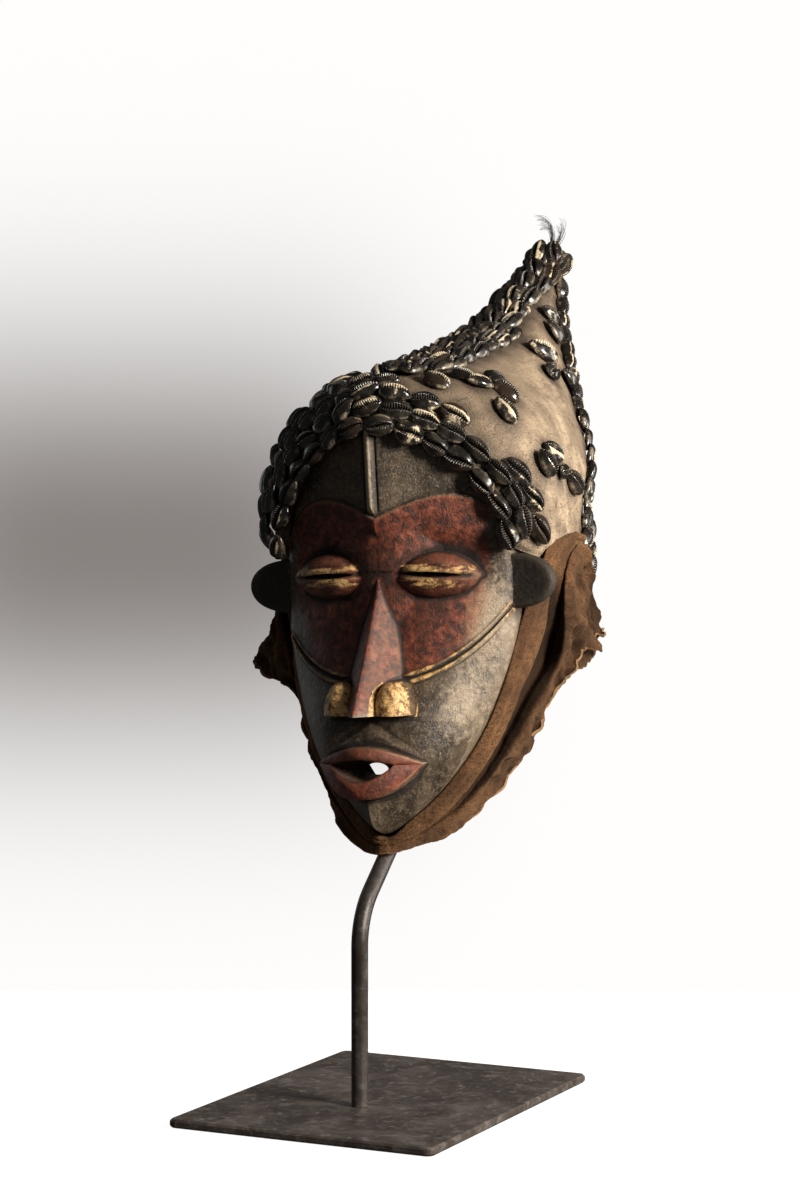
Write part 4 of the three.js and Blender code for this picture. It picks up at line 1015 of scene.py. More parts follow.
# The lines with one more on each side, folded over the crest and the back, and one more point at each end
HOOD_NET = with_ends(np.concatenate([
    HOOD_LINES[1:2] * MIRROR, HOOD_LINES, HOOD_LINES[HOOD_BACK - 1:HOOD_BACK] * MIRROR,
]), axis=1)
HOOD_ROWS, HOOD_COLUMNS, HOOD_INNER_REACH = 164, 296, 0.95
HIDE_SINK, HOOD_TIP = 0.5, (0, 1.5, 4)


def hood_points(up, around):
    """The hood's outside: up is 0 at the edge and 1 at the tip, around 0 at the crest and 7 at the back."""
    up, around = np.broadcast_arrays(np.clip(np.asarray(up, float), 0, 1), np.asarray(around, float))
    side = np.where(around < 0, -1.0, 1.0)
    at, place = up * HOOD_STEPS, np.abs(around)
    i = np.minimum(HOOD_BACK - 1, np.floor(place)).astype(int)
    j = np.minimum(HOOD_STEPS - 1, np.floor(at)).astype(int)
    around_weights, up_weights = four_weights(place - i), four_weights(at - j)
    total = np.zeros((*up.shape, 3))
    for a in range(4):
        for b in range(4):
            total += (around_weights[a] * up_weights[b])[..., None] * HOOD_NET[i + a, j + b]
    total[..., 0] = total[..., 0] * side + HOOD_LEAN * up**2
    return total


def towards_tip(up, around):
    step = 0.01
    return hood_points(np.minimum(1, up + step), around) - hood_points(np.maximum(0, up - step), around)


def hood_normals(up, around):
    step = 0.01
    along_around = hood_points(up, around + step) - hood_points(up, around - step)
    return unit(np.cross(along_around, towards_tip(up, around)))


def hood_dents(points):
    """The hide isn't quite even: it has soft dents of two sizes."""
    return 0.72 * ripple(points, 46, 11) + 0.28 * ripple(points, 15, 12)


def build_hood(shell_spots):
    """Two layers of hide joined along the edge, each with its own cap at the tip."""
    rows, columns = HOOD_ROWS, HOOD_COLUMNS
    around = np.linspace(-HOOD_BACK, HOOD_BACK, columns, endpoint=False)
    layers = []
    for depth, reach in ((0, 1), (HIDE_THICKNESS, HOOD_INNER_REACH)):
        up, at = np.broadcast_arrays(np.linspace(0, reach, rows)[:, None], around[None, :])
        points = hood_points(up, at).reshape(-1, 3)
        out = hood_dents(points) - HIDE_SINK - depth
        layers.append(points + hood_normals(up, at).reshape(-1, 3) * out[:, None])
    tips = [layers[0][-columns:].mean(0) + HOOD_TIP, layers[1][-columns:].mean(0)]
    points = np.concatenate([*layers, tips])
    count, top = rows * columns, (rows - 1) * columns
    this = np.arange(columns)
    after = (this + 1) % columns
    faces = grid_faces(rows, columns, wrap_columns=True)
    rim = np.stack([this, this + count, after + count, after], axis=1)
    outer_cap = np.stack([top + this, top + after, 0 * this + 2 * count], axis=1)
    inner_cap = np.stack([count + top + after, count + top + this, 0 * this + 2 * count + 1], axis=1)
    groups = (faces, faces[:, ::-1] + count, rim, outer_cap, inner_cap)
    all_faces = [face for group in groups for face in group.tolist()]
    lit_flank = smooth(0.4, 2.2, np.abs(around)) * smooth(7.4, 5.6, np.abs(around))
    hood = make_mesh("hide_hood_sewn", points, all_faces, {
        "near_shell": nearest_distance(points, shell_spots),
        "inside": np.r_[np.zeros(count), np.ones(count), 0, 1],
        "up": np.r_[np.tile(np.repeat(np.linspace(0, 1, rows), columns), 2), 1, 1],
        "lit_flank": np.r_[np.tile(lit_flank, 2 * rows), 0, 0],
    })
    return finish_piece(hood, hide_material(), ["hide_hood"], crease=60)


def nearest_distance(points, spots):
    spots = np.asarray(spots)
    groups = np.array_split(points, 60)
    return np.concatenate([np.sqrt(((g[:, None] - spots[None]) ** 2).sum(-1)).min(1) for g in groups])


def hide_material():
    nodes = Nodes("hide")
    where = nodes.place()
    broad = nodes.noise(where, 22, 4, 0.6, 0.4)
    blotch = nodes.noise(where, 90, 5, 0.62)
    fine = nodes.noise(where, 700, 4, 0.7)
    scratches = nodes.noise(nodes.place((1, 0.25, 1), (0.5, 0.2, 0.3)), 380, 5, 0.7, 0.6)
    creases = nodes.wire("TexVoronoi", {"Vector": where, "Scale": 520.0}, feature="DISTANCE_TO_EDGE")
    from_crack = nodes.math("ABSOLUTE", nodes.noise(where, 120, 5, 0.62, 0.7) - 0.5)
    cracks = nodes.fade(from_crack, 0, 0.016, 1, 0) * nodes.fade(blotch, 0.42, 0.6)
    near, inside, up, lit_flank = nodes.values("near_shell", "inside", "up", "lit_flank")
    uneven = blotch - 0.5
    colour = nodes.layers(
        (0.3, 0.22, 0.145),
        (broad, 0.36, 0.64, 1, (0.66, 0.5, 0.33)),
        (blotch, 0.48, 0.72, 0.6, (0.14, 0.1, 0.07)),
        (scratches, 0.54, 0.68, 0.55, (0.13, 0.088, 0.055)),
        (scratches, 0.44, 0.32, 0.4, (0.66, 0.52, 0.36)),
        (fine, 0.5, 0.62, 0.5, (0.12, 0.08, 0.052)),
    )
    colour = nodes.layers(
        nodes.mix(0.75 * cracks, colour, (0.1, 0.062, 0.04)),
        # Painted shade: the hide darkens towards the crest and the back, away from the lit flanks.
        (lit_flank + 0.8 * uneven, 0.9, 0.1, 0.6, (0.19, 0.135, 0.09)),
        (up + 0.5 * uneven, 0.6, 0.95, 0.65, (0.13, 0.09, 0.06)),
        (near + 14 * uneven, 17, 6, 0.8, (0.06, 0.042, 0.03)),
    )
    colour = nodes.mix(0.9 * inside, colour, (0.12, 0.08, 0.05))
    relief = 0.25 * nodes.fade(creases, 0, 0.12) + 0.4 * fine + blotch + 0.6 * scratches - 0.3 * cracks
    return nodes.surface(
        Base_Color=colour, Roughness=nodes.fade(blotch, 0.3, 0.7, 0.55, 0.8), Specular_IOR_Level=0.4,
        Normal=nodes.bump(relief, 0.0014, 0.8),
    )


# Cowrie shells

SHELL_LENGTH, SHELL_WIDTH, SHELL_HEIGHT = 20.5, 13.6, 5.6
SHELL_SECTIONS = 35


def shell_template():
    """One cowrie, slit upward, in its own axes: along, across and up, with its slit and lips marked."""
    along = np.sin(np.linspace(-0.5, 0.5, SHELL_SECTIONS) * np.pi)
    half = np.array([0.045, 0.1, 0.16, 0.24, 0.33, 0.43, 0.54, 0.66, 0.78, 0.88, 0.95, 1])
    top_across, under_across = np.r_[-half[::-1], 0, half], np.array([0.8, 0.35, -0.35, -0.8])
    a, b = np.meshgrid(along, np.r_[top_across, under_across], indexing="ij")
    on_top = np.arange(a.shape[1]) < len(top_across) + 0 * a
    girth = np.maximum(0, 1 - np.abs(a) ** 2.1) ** 0.62 * (1 + 0.1 * a)
    bent = b - 0.13 * np.sin(2.4 * a) * (1 - np.abs(b))
    arch = np.maximum(0, 1 - np.abs(b) ** 2.6) ** 0.5
    reach = smooth(0.97, 0.8, np.abs(a))
    slit, valley = bell(bent, 0.06) * reach, bell(bent, 0.2) * reach
    lip = bell(np.abs(bent) - 0.37, 0.17) * smooth(1.0, 0.6, np.abs(a))
    height = SHELL_HEIGHT * girth**0.8 * (0.86 * arch + 0.16 * lip - 0.3 * valley - 0.3 * slit)
    height = np.where(on_top, height, -0.9 * girth)
    points = np.stack([0.5 * SHELL_LENGTH * a, 0.5 * SHELL_WIDTH * girth * b, height], axis=-1)
    marks = {"slit": slit, "lip": lip, "rim": bell(np.abs(b) - 0.93, 0.06)}
    marks = {key: (values * on_top).reshape(-1) for key, values in marks.items()}
    where = np.stack([0.5 * SHELL_LENGTH * a, 0.5 * SHELL_WIDTH * bent, 0 * a], axis=-1)
    marks["on_shell"] = where.reshape(-1, 3)
    return points.reshape(-1, 3), grid_faces(*a.shape, wrap_columns=True), marks


TEMPLATE, TEMPLATE_FACES, TEMPLATE_MARKS = shell_template()


def turned(vector, axis, angle):
    return vector * math.cos(angle) + np.cross(axis, vector) * math.sin(angle)


class Shells:
    """Gathers shells that lie on the hood, and makes them one piece that stands for a number of solids."""

    def __init__(self, name, seed, solids):
        self.name = name
        self.rng = np.random.default_rng(seed)
        self.replaces = [f"{name}_{i + 1}" for i in range(solids)]
        self.points, self.seeds, self.spots = [], [], []

    def lay(self, up, around, turn, scale=1.0, unruly=1.0, tile=0.0, lift=0.0):
        """One shell; tile tips it up along its length, as tiles lie, and lift raises it."""
        rng = self.rng
        normal = hood_normals(up, around)
        along = turned(unit(towards_tip(up, around)), normal, turn + unruly * rng.normal(0, 0.2))
        sideways = np.cross(normal, along)
        pitched = unruly * rng.normal(0, 0.09) - tile
        tipped = unit(normal + pitched * along + unruly * rng.normal(0, 0.16) * sideways)
        along = unit(along - (along @ tipped) * tipped)
        if rng.random() < 0.5:
            along = -along
        sizes = scale * np.array([rng.uniform(0.92, 1.08), rng.uniform(0.9, 1.08), rng.uniform(0.9, 1.1)])
        axes = np.stack([along, np.cross(tipped, along), tipped])
        centre = hood_points(up, around) + normal * (0.9 + lift + unruly * rng.uniform(-0.3, 0.9))
        self.points.append(centre + (TEMPLATE * sizes) @ axes)
        self.seeds.append(rng.random())
        self.spots.append(centre)

    def lay_row(self, path, pitch, scale=1.0, start=0.5, end=0.2, stray=1.0, tile=0.0, swell=None):
        """Shells at a pitch along a path of [up, around] places, each lying along it."""
        path = np.array(path)
        points = hood_points(path[:, 0], path[:, 1])
        run = run_along(points)
        at = start * pitch
        while at < run[-1] - end * pitch:
            i = min(len(path) - 1, max(1, int(np.searchsorted(run, at))))
            up, around = path[i]
            normal = hood_normals(up, around)
            ahead = unit(towards_tip(up, around))
            heading = points[i] - points[i - 1]
            turn = math.atan2(heading @ np.cross(normal, ahead), heading @ ahead)
            lift = swell(around) if swell else 0.0
            self.lay(up, around + stray * self.rng.normal(0, 0.012), turn, scale, tile=tile, lift=lift)
            at += pitch * self.rng.uniform(0.9, 1.07)

    def build(self, material):
        count = len(self.points)
        faces = np.concatenate([TEMPLATE_FACES + i * len(TEMPLATE) for i in range(count)])
        attributes = {key: np.concatenate([values] * count) for key, values in TEMPLATE_MARKS.items()}
        attributes["seed"] = np.repeat(self.seeds, len(TEMPLATE))
        piece = make_mesh(self.name, np.concatenate(self.points), faces.tolist(), attributes)
        return finish_piece(piece, material, self.replaces)


def up_for_distance(around, distance):
    """How far up each line to go for a given distance from the hood's edge."""
    around = np.atleast_1d(around)
    ups = np.linspace(0, 1, 401)
    run = run_along(hood_points(ups[:, None], around[None, :]))
    return np.array([np.interp(distance, line, ups) for line in run.T])


def around_for_offset(up, start, offset):
    """How far round to go for a sideways distance from a line, square to the line towards the tip."""
    places = start + np.sign(offset or 1) * np.arange(0, 3.6, 0.02)
    points = hood_points(up, places)
    moves = np.diff(points, axis=0)
    ahead = unit(towards_tip(np.full(len(places) - 1, up), places[1:]))
    moves -= np.einsum("ij,ij->i", moves, ahead)[:, None] * ahead
    run = np.r_[0, np.cumsum(np.linalg.norm(moves, axis=1))]
    return float(np.interp(abs(offset), run, places))


BAND_PITCH = 17.8
# Each row of the band: its distance from the hood's edge, and where it starts and ends around the hood
BAND_ROWS = [(3, -3.12, 3.12), (13.5, -3.2, 3.2), (23.5, -3.12, 0.95), (23.5, 1.55, 3.14), (32.5, -2.6, 0.3)]
# Each row of the crest: its distance to the right of the ridge, and how far up it ends
CREST_ROWS = [(-11, 0.996), (0, 0.996), (11, 0.996), (20.5, 0.66)]
CREST_PITCH, CREST_START = 17.6, 46
# Each shell at the tip: how far around it lies, its turn in degrees and how far it is raised
TIP_SHELLS = [(-1.6, 8, 1.5), (-0.5, -6, 2.2), (0.8, 12, 1.8), (2.6, -8, 0.5)]
TIP_UP, TIP_SCALE = 0.975, 0.95
SEAM_LINE, SEAM_OFFSETS, SEAM_PITCH, SEAM_SCALE = 5.72, (0, -11.5), 13.4, 0.86
SEAM_START, SEAM_END = 0.02, 0.93
PATH_STEP = 0.006
# Each loose shell: how far up and around it lies, its turn in degrees and its scale
LOOSE_SHELLS = [
    (0.335, 0.52, 74, 1.05), (0.405, 0.66, 78, 0.95), (0.385, 0.87, 116, 0.85), (0.445, 0.94, 62, 0.9),
    (0.4, 1.17, 66, 1.05), (0.33, 1.3, 78, 1), (0.635, 1.36, 114, 1.2), (0.6, 1.7, 160, 0.95),
    (0.67, 2.5, 102, 1), (0.78, 1.6, 100, 0.85), (0.745, 1.9, 82, 0.9), (0.32, 2.08, 90, 1),
    (0.365, 2.08, 114, 0.95), (0.39, 2.42, 150, 0.8), (0.43, 2.76, 124, 0.95),
]


def left_swell(around):
    """The band stands further out at the left temple."""
    return 3.0 * float(smooth(-1.2, -2.4, around))


def lay_all_shells():
    """The band round the face, the crest, and on both sides the rear seam's rows and the loose shells."""
    band = Shells("face_band_cowries", 5, 3)
    for i, (distance, start, end) in enumerate(BAND_ROWS):
        around = np.arange(start, end, 0.01)
        path = np.stack([up_for_distance(around, distance), around], axis=1)
        band.lay_row(path, BAND_PITCH, start=0.3 + 0.5 * (i % 2), tile=0.1, swell=left_swell)
    crest = Shells("crest_cowries", 6, 3)
    for i, (offset, last) in enumerate(CREST_ROWS):
        first = float(up_for_distance(0.0, CREST_START + abs(offset) / 2)[0])
        path = [(up, around_for_offset(up, 0.0, offset)) for up in np.arange(first, last, PATH_STEP)]
        crest.lay_row(path, CREST_PITCH, start=0.3 + 0.5 * (i % 2), end=0, tile=0.12)
    for around, turn, lift in TIP_SHELLS:
        crest.lay(TIP_UP, around, math.radians(turn), TIP_SCALE, unruly=0.4, tile=0.5, lift=lift)
    pieces = [band, crest]
    for side, name in ((1, "right"), (-1, "left")):
        seam = Shells(f"rear_seam_cowries_{name}", 20 + side, 2)
        for i, offset in enumerate(SEAM_OFFSETS):
            ups = np.arange(SEAM_START, SEAM_END, PATH_STEP)
            arounds = [around_for_offset(up, SEAM_LINE, offset) if offset else SEAM_LINE for up in ups]
            path = np.stack([ups, side * np.array(arounds)], axis=1)
            seam.lay_row(path, SEAM_PITCH, SEAM_SCALE, start=0.3 + 0.4 * i, tile=0.12)
        loose = Shells(f"loose_cowries_{name}", 30 + side, 7)
        for up, around, turn, scale in LOOSE_SHELLS:
            loose.lay(up, side * around, side * math.radians(turn), scale, unruly=0.6)
        pieces += [seam, loose]
    return pieces


TOOTH_PITCH = 1.5


def shell_material():
    nodes = Nodes("cowrie_shell")
    where = nodes.place()
    fine = nodes.noise(where, 900, 4, 0.65)
    patch = nodes.noise(where, 150, 3, 0.5)
    along, sideways, _ = nodes.parts_of("on_shell")
    seed, slit, lip, rim = nodes.values("seed", "slit", "lip", "rim")
    across = nodes.math("ABSOLUTE", sideways)
    by_slit = nodes.fade(across, 0.25, 0.5) * nodes.fade(across, 1.9, 2.9, 1, 0)
    teeth = nodes.math("SINE", along * (2 * math.pi / TOOTH_PITCH)) * by_slit
    colour = nodes.layers(
        (0.012, 0.01, 0.0085),
        (patch, 0.4, 0.66, 1, (0.044, 0.036, 0.028)),
        (seed, 0.9, 0.95, 0.4, (0.07, 0.04, 0.025)),
        (teeth, 0.1, 0.8, 0.6, (0.15, 0.125, 0.095)),
    )
    # Each shell's seed picks how far it is worn, and on which side of its slit
    pick = nodes.math("SINE", 91 * seed)
    beside_slit = lip * nodes.fade(sideways * nodes.math("SINE", 40 * seed), -0.5, 1.2)
    wear = beside_slit * nodes.fade(pick, -0.1, 0.4, 0.1, 0.62) + nodes.fade(pick, 0.5, 0.9, 0, 0.22)
    worn = nodes.fade(wear + 1.5 * (patch - 0.5) + 0.3 * (fine - 0.5), 0.34, 0.46)
    outline = rim * nodes.fade(patch + 0.5 * fine, 0.7, 0.86, 0, 0.45)
    cream = nodes.mix(nodes.fade(fine, 0.35, 0.65), (0.5, 0.36, 0.19), (0.86, 0.76, 0.56))
    colour = nodes.mix(nodes.clamp(worn + outline), colour, cream)
    # Painted shade: the slit and the grooves between the teeth are painted near black.
    dark = nodes.clamp(1.6 * slit + 0.85 * nodes.fade(teeth, -0.9, -0.2, 1, 0))
    colour = nodes.mix(dark, colour, (0.004, 0.003, 0.003))
    return nodes.surface(
        Base_Color=colour, Roughness=nodes.fade(patch, 0.3, 0.7, 0.17, 0.32) + 0.12 * worn,
        Specular_IOR_Level=0.65, Normal=nodes.bump(0.55 * teeth + 0.05 * fine, 0.0006, 0.8),
    )


# Neck cloth: lines go from the fixed edge, over the middle, to the free edge

CLOTH_GAP = 1.0


def beside_wood(side, z, y):
    """A point just outside the wood's outline."""
    slope = float(face_half(z + 0.5) - face_half(z - 0.5))
    away = CLOTH_GAP / math.hypot(1, slope)
    return (side * (float(face_half(z)) + away), y, z - slope * away)


CLOTH_LEFT = [
    [(-85, 118, 337), (-95, 110, 310), (-108, 80, 290)],
    [(-91.5, 76, 338), (-104, 68, 303), (-118, 52, 268)],
    [(-88.5, 46, 329), (-98, 52, 292), (-108, 47, 256)],
    [beside_wood(-1, 288, 34.5), (-84, 42, 268), (-88, 44, 246)],
    [beside_wood(-1, 252, 22), (-74, 36, 237), (-75, 41, 223)],
    [beside_wood(-1, 219, 15), (-61, 24, 208), (-58, 30, 196)],
    [beside_wood(-1, 190, 6), (-41.6, 10.8, 181.2), (-39.4, 6.6, 169)],
    [beside_wood(-1, 172, -2), (-18.5, 0.2, 161.2), (-17.3, -1.6, 153.2)],
]
CLOTH_CHIN = [(0, -4, 160.6), (0, -6, 156), (0, -8, 152)]
CLOTH_RIGHT = [
    [beside_wood(1, 172, -2), (17, 4, 162), (13, 6, 154.5)],
    [beside_wood(1, 190, 6), (37, 20, 177), (35, 32, 164)],
    [beside_wood(1, 219, 15), (57, 37, 205), (50, 60, 190)],
    [beside_wood(1, 252, 22), (71, 53, 239), (64, 87, 220)],
    [beside_wood(1, 288, 34.5), (81, 74, 267), (76, 108, 241)],
    [(88.5, 46, 329), (89, 84, 292), (87, 129, 256)],
    [(91.5, 76, 338), (90.5, 104, 303), (90, 134, 266)],
    [(90, 97, 337), (89, 112, 306), (88, 131, 278)],
]
CLOTH_NET = np.array([*CLOTH_LEFT, CLOTH_CHIN, *CLOTH_RIGHT], float)
CLOTH_REACH = len(CLOTH_RIGHT)
CLOTH_WIDE = with_ends(CLOTH_NET)


def cloth_points(at, across):
    """The cloth without folds: at is 0 at the chin and 8 at the right end, across 0 at the fixed edge."""
    place = np.asarray(at, float) + CLOTH_REACH
    i = np.clip(np.floor(place), 0, len(CLOTH_NET) - 2).astype(int)
    weights = four_weights(place - i)
    stops = sum(weights[k][..., None, None] * CLOTH_WIDE[i + k] for k in range(4))
    first, middle, last = (stops[..., k, :] for k in range(3))
    across = across[..., None]
    return mix(first, last, across) + 4 * across * (1 - across) * (middle - (first + last) / 2)


def cloth_normals(at, across):
    step = 0.02
    along = cloth_points(at + step, across) - cloth_points(at - step, across)
    drop = cloth_points(at, np.minimum(1, across + step)) - cloth_points(at, np.maximum(0, across - step))
    return unit(np.cross(drop, along))


BAND_SHARE = curve_through([
    (0, 0.46), (1, 0.42), (2, 0.36), (3, 0.3), (4, 0.27), (5, 0.25), (6, 0.13), (6.8, 0.06), (8, 0.05),
])
FLAP_SHARE = curve_through([
    (0, 0.56), (1, 0.54), (2, 0.54), (3, 0.6), (4, 0.65), (5, 0.6), (6, 0.34), (6.8, 0.17), (8, 0.12),
])
VALLEY_DEPTH = curve_through([
    (0, 0.5), (1, 1.5), (2, 4), (3, 8), (3.8, 12), (5, 14), (5.6, 7), (6.1, 2), (6.8, 0.8), (8, 0.3),
])
HEM_SHARE = curve_through([
    (0, 1), (3.4, 1), (4.2, 0.97), (4.8, 0.86), (5.3, 0.79), (5.8, 0.82), (6.3, 0.92), (6.8, 0.88),
    (7.3, 0.95), (8, 1),
])


def fold_profile(at, hem):
    """The cloth's section from the fixed edge to the hem, as stops of across and of how far it stands
    out: a padded band at the jaw, a deep fold behind it, and a loose flap that hangs over the fold."""
    side = np.abs(at)
    band, flap, deep = BAND_SHARE(side), FLAP_SHARE(side), VALLEY_DEPTH(side)
    loose = smooth(1.0, 4.0, side)
    over = 0.03 * loose
    roll = 0.6 + 1.3 * loose
    stops = [
        (0 * band, 0 * band), (0.3 * band, roll), (0.5 * band, 0.6 * roll), (0.75 * band, roll),
        (band, 0.2 * roll), (band - over / 3, -0.45 * deep), (band + over, -0.92 * deep),
        (mix(band, flap, 0.5), -deep), (flap + over, -0.85 * deep), (flap - over / 3, -0.35 * deep),
        (flap - over, 1.2 * loose), (flap + 0.05, 3.0 * loose), (mix(flap, hem, 0.42), 1.4 * loose),
        (mix(flap, hem, 0.72), 0.4 * loose), (hem - 0.014, 0.9 * loose), (hem, 0 * band),
        (hem - 0.012, -1.6 + 0 * band),
    ]
    return np.array(stops).transpose(1, 2, 0)


def through_stops(stops, place):
    """Values between the stops of each row, at places counted in stops."""
    i = np.clip(np.floor(place), 0, stops.shape[1] - 2).astype(int)
    wide = with_ends(stops, axis=1)
    weights = four_weights(place - i)
    return sum(weights[k][None, :] * wide[:, i + k] for k in range(4))


PAINTED_SHADE_START, PAINTED_SHADE_END, FLAP_START = 4.2, 10.2, 9.5


def cloth_waves(at, place, points):
    """How far loose folds and small unevenness move the cloth, and how deep its creases are."""
    side = np.abs(at)
    on_flap = smooth(FLAP_START, FLAP_START + 2.5, place) * smooth(0.8, 4.0, side)
    over = place / 4
    waves = 3.0 * np.sin(2.7 * at + 1.4 * over) + 1.7 * np.sin(5.6 * at - 2.3 * over + 1)
    waves = waves + 0.7 * np.sin(11 * at + 2.1 * over)
    creases = 5.0 * np.abs(ripple(points * (1.0, 0.55, 0.8), 24, 31)) ** 1.3
    creases = creases + 2.0 * np.abs(ripple(points, 11, 32))
    small = 0.4 * ripple(points, 13, 33) + 0.22 * ripple(points, 5, 34)
    near_edge = smooth(0, 1, place)
    creases = on_flap * creases * smooth(15.5, 13.5, place)
    return on_flap * 0.8 * waves - creases + near_edge * small * (1 + on_flap), creases


def ragged_edge(at, seed):
    places = np.stack([at * 30, 0 * at, 0 * at], axis=1)
    return 0.012 * ripple(places, 9, seed) + 0.008 * ripple(places, 2.4, seed + 1)


def tucked_edge(fixed):
    """Points behind the fixed edge: back along the side of the wood, then in behind its rim."""
    rows = len(fixed)
    at = np.abs(np.linspace(-CLOTH_REACH, CLOTH_REACH, rows))[:, None]
    tangent = np.gradient(fixed, axis=0)
    outward = unit(np.stack([tangent[:, 2], 0 * at[:, 0], -tangent[:, 0]], axis=1))
    beside = fixed.copy()
    beside[:, 1] = np.maximum(rim_y(fixed[:, 2]) + 0.8, fixed[:, 1] + 0.5)
    reach = 7 + 9 * smooth(0.3, 1.6, at)
    behind = beside - outward * reach
    behind[:, 1] = rim_y(behind[:, 2]) + 1.4
    there = smooth(5.7, 5.1, at)
    beside = mix(fixed + (0, 1, 0), beside, there)
    behind = mix(fixed + (0, 2, 0), behind, there)
    back = [mix(behind, beside, t) for t in (0, 0.25, 0.5, 0.75, 0.93)]
    forward = [mix(beside, fixed, t) for t in (0.07, 0.35, 0.65, 0.9)]
    return np.stack([*back, *forward], axis=1)


def sheet_area(grid):
    a, b, c, d = grid[:-1, :-1], grid[1:, :-1], grid[1:, 1:], grid[:-1, 1:]
    halves = np.linalg.norm(np.cross(b - a, c - a), axis=2) + np.linalg.norm(np.cross(c - a, d - a), axis=2)
    return 0.5 * halves.sum() * MM**2


CLOTH_THICKNESS = 0.9


def make_sheet(name, grid, deep, material, replaced):
    rows, columns = grid.shape[:2]
    along = run_along(grid[:, columns // 2])
    drop = run_along(grid.swapaxes(0, 1)).T
    woven = np.stack([along[:, None] + 0 * drop, drop, 0 * drop], axis=-1).reshape(-1, 3)
    to_edge = np.minimum(drop[:, -1:] - drop, 30)
    attributes = {"woven": woven, "to_edge": to_edge.reshape(-1), "deep": deep.reshape(-1)}
    sheet = make_mesh(name, grid.reshape(-1, 3), grid_faces(rows, columns).tolist(), attributes)
    thickness = sheet.modifiers.new("thickness", "SOLIDIFY")
    thickness.thickness = CLOTH_THICKNESS * MM
    thickness.offset = 0
    finish_piece(sheet, material, replaced)
    sheet_area(grid)
    return sheet


CLOTH_ROWS, CLOTH_COLUMNS = 330, 125
LINING_ROWS, LINING_COLUMNS, LINING_START, LINING_END = 160, 50, 3.4, 7.8


def pushed_out(plain, at, across, out):
    """The plain cloth's points, moved out from it."""
    return plain + cloth_normals(at, np.clip(across, 0.02, 0.98)) * out[..., None]


def build_cloth(material):
    line = np.linspace(-CLOTH_REACH, CLOTH_REACH, CLOTH_ROWS)
    hem = np.where(line > 0, HEM_SHARE(np.abs(line)), 1.0) - 0.01 + ragged_edge(line, 8)
    across_stops, out_stops = fold_profile(line, hem)
    stops = np.linspace(0, across_stops.shape[1] - 1, CLOTH_COLUMNS)
    at, place = np.meshgrid(line, stops, indexing="ij")
    across, out = through_stops(across_stops, stops), through_stops(out_stops, stops)
    ragged_top = 0.6 * ragged_edge(line, 28) * smooth(5.4, 6.0, np.abs(line))
    across = across - ragged_top[:, None] * smooth(2, 0, place)
    plain = cloth_points(at, across)
    waves, creases = cloth_waves(at, place, plain)
    folded = pushed_out(plain, at, across, out + waves)
    tuck = tucked_edge(folded[:, 0])
    # Painted shade: the deep fold behind the band, the flap's creases and the tucked edge are marked to be
    # painted near black.
    deep = smooth(PAINTED_SHADE_START, PAINTED_SHADE_START + 0.7, place) * smooth(PAINTED_SHADE_END + 0.9, PAINTED_SHADE_END - 0.9, place)
    deep = deep * smooth(0.5, 3, VALLEY_DEPTH(np.abs(at)) / 2)
    deep = np.maximum(deep, 0.7 * np.clip(creases / 2.8, 0, 1))
    deep = np.concatenate([np.ones(tuck.shape[:2]), deep], axis=1)
    grid = np.concatenate([tuck, folded], axis=1)
    make_sheet("neck_cloth_draped", grid, deep, material, ["neck_cloth"])


def build_lining(material):
    """A second layer of cloth, seen behind the flap."""
    line = np.linspace(LINING_START, LINING_END, LINING_ROWS)
    at = line[:, None] + np.zeros((1, LINING_COLUMNS))
    first, last = FLAP_SHARE(line)[:, None] + 0.06, 0.985 + ragged_edge(line, 18)[:, None]
    across = mix(first, last, np.linspace(0, 1, LINING_COLUMNS)[None, :])
    plain = cloth_points(at, across)
    out = -6.0 * smooth(3.2, 4.2, at) * smooth(8.2, 7.2, at) - 1.5
    out = out + 1.2 * np.sin(4 * at + 3 * across) + 0.8 * ripple(plain, 14, 35)
    folded = pushed_out(plain, at, across, out)
    # Painted shade: the whole lining is marked to be darkened, as it lies in shade behind the flap.
    make_sheet("neck_cloth_lining", folded, np.full(at.shape, 0.7), material, [])


def cloth_material():
    nodes = Nodes("neck_cloth")
    where = nodes.place()
    across, along, _ = nodes.parts_of("woven")
    diagonals = (across + along, across - along)
    threads = []
    for long_way, short_way in (diagonals, diagonals[::-1]):
        vector = nodes.wire("CombineXYZ", {0: 0.16 * long_way, 1: 0.85 * short_way})
        threads.append(nodes.fade(nodes.noise(vector, 1.0, 2, 0.5), 0.36, 0.64))
    weave = nodes.math("MAXIMUM", 0.9 * threads[0], 0.75 * threads[1])
    blotch = nodes.noise(where, 150, 5, 0.65)
    fuzz = nodes.noise(where, 1500, 3, 0.7)
    to_edge, deep = nodes.values("to_edge", "deep")
    colour = nodes.layers(
        (0.08, 0.037, 0.016),
        (nodes.noise(where, 38, 4, 0.6), 0.36, 0.66, 1, (0.2, 0.096, 0.04)),
        (blotch, 0.5, 0.74, 0.5, (0.045, 0.021, 0.01)),
        (weave, 0.85, 0.15, 0.72, (0.035, 0.015, 0.007)),
        (fuzz, 0.52, 0.75, 0.35, (0.3, 0.17, 0.08)),
        (to_edge, 2.4, 0.8, 0.75, (0.4, 0.24, 0.12)),
    )
    # Painted shade: near black where marked deep, in the folds, creases, tucked edge and lining.
    colour = nodes.mix(0.88 * deep, colour, (0.01, 0.005, 0.003))
    return nodes.surface(
        Base_Color=colour, Roughness=0.92, Specular_IOR_Level=0.2, Sheen_Weight=0.15, Sheen_Roughness=0.5,
        Sheen_Tint=(0.9, 0.55, 0.3), Normal=nodes.bump(0.5 * weave + 0.5 * fuzz + blotch, 0.0009, 0.8),
    )


# Hair at the hood's tip


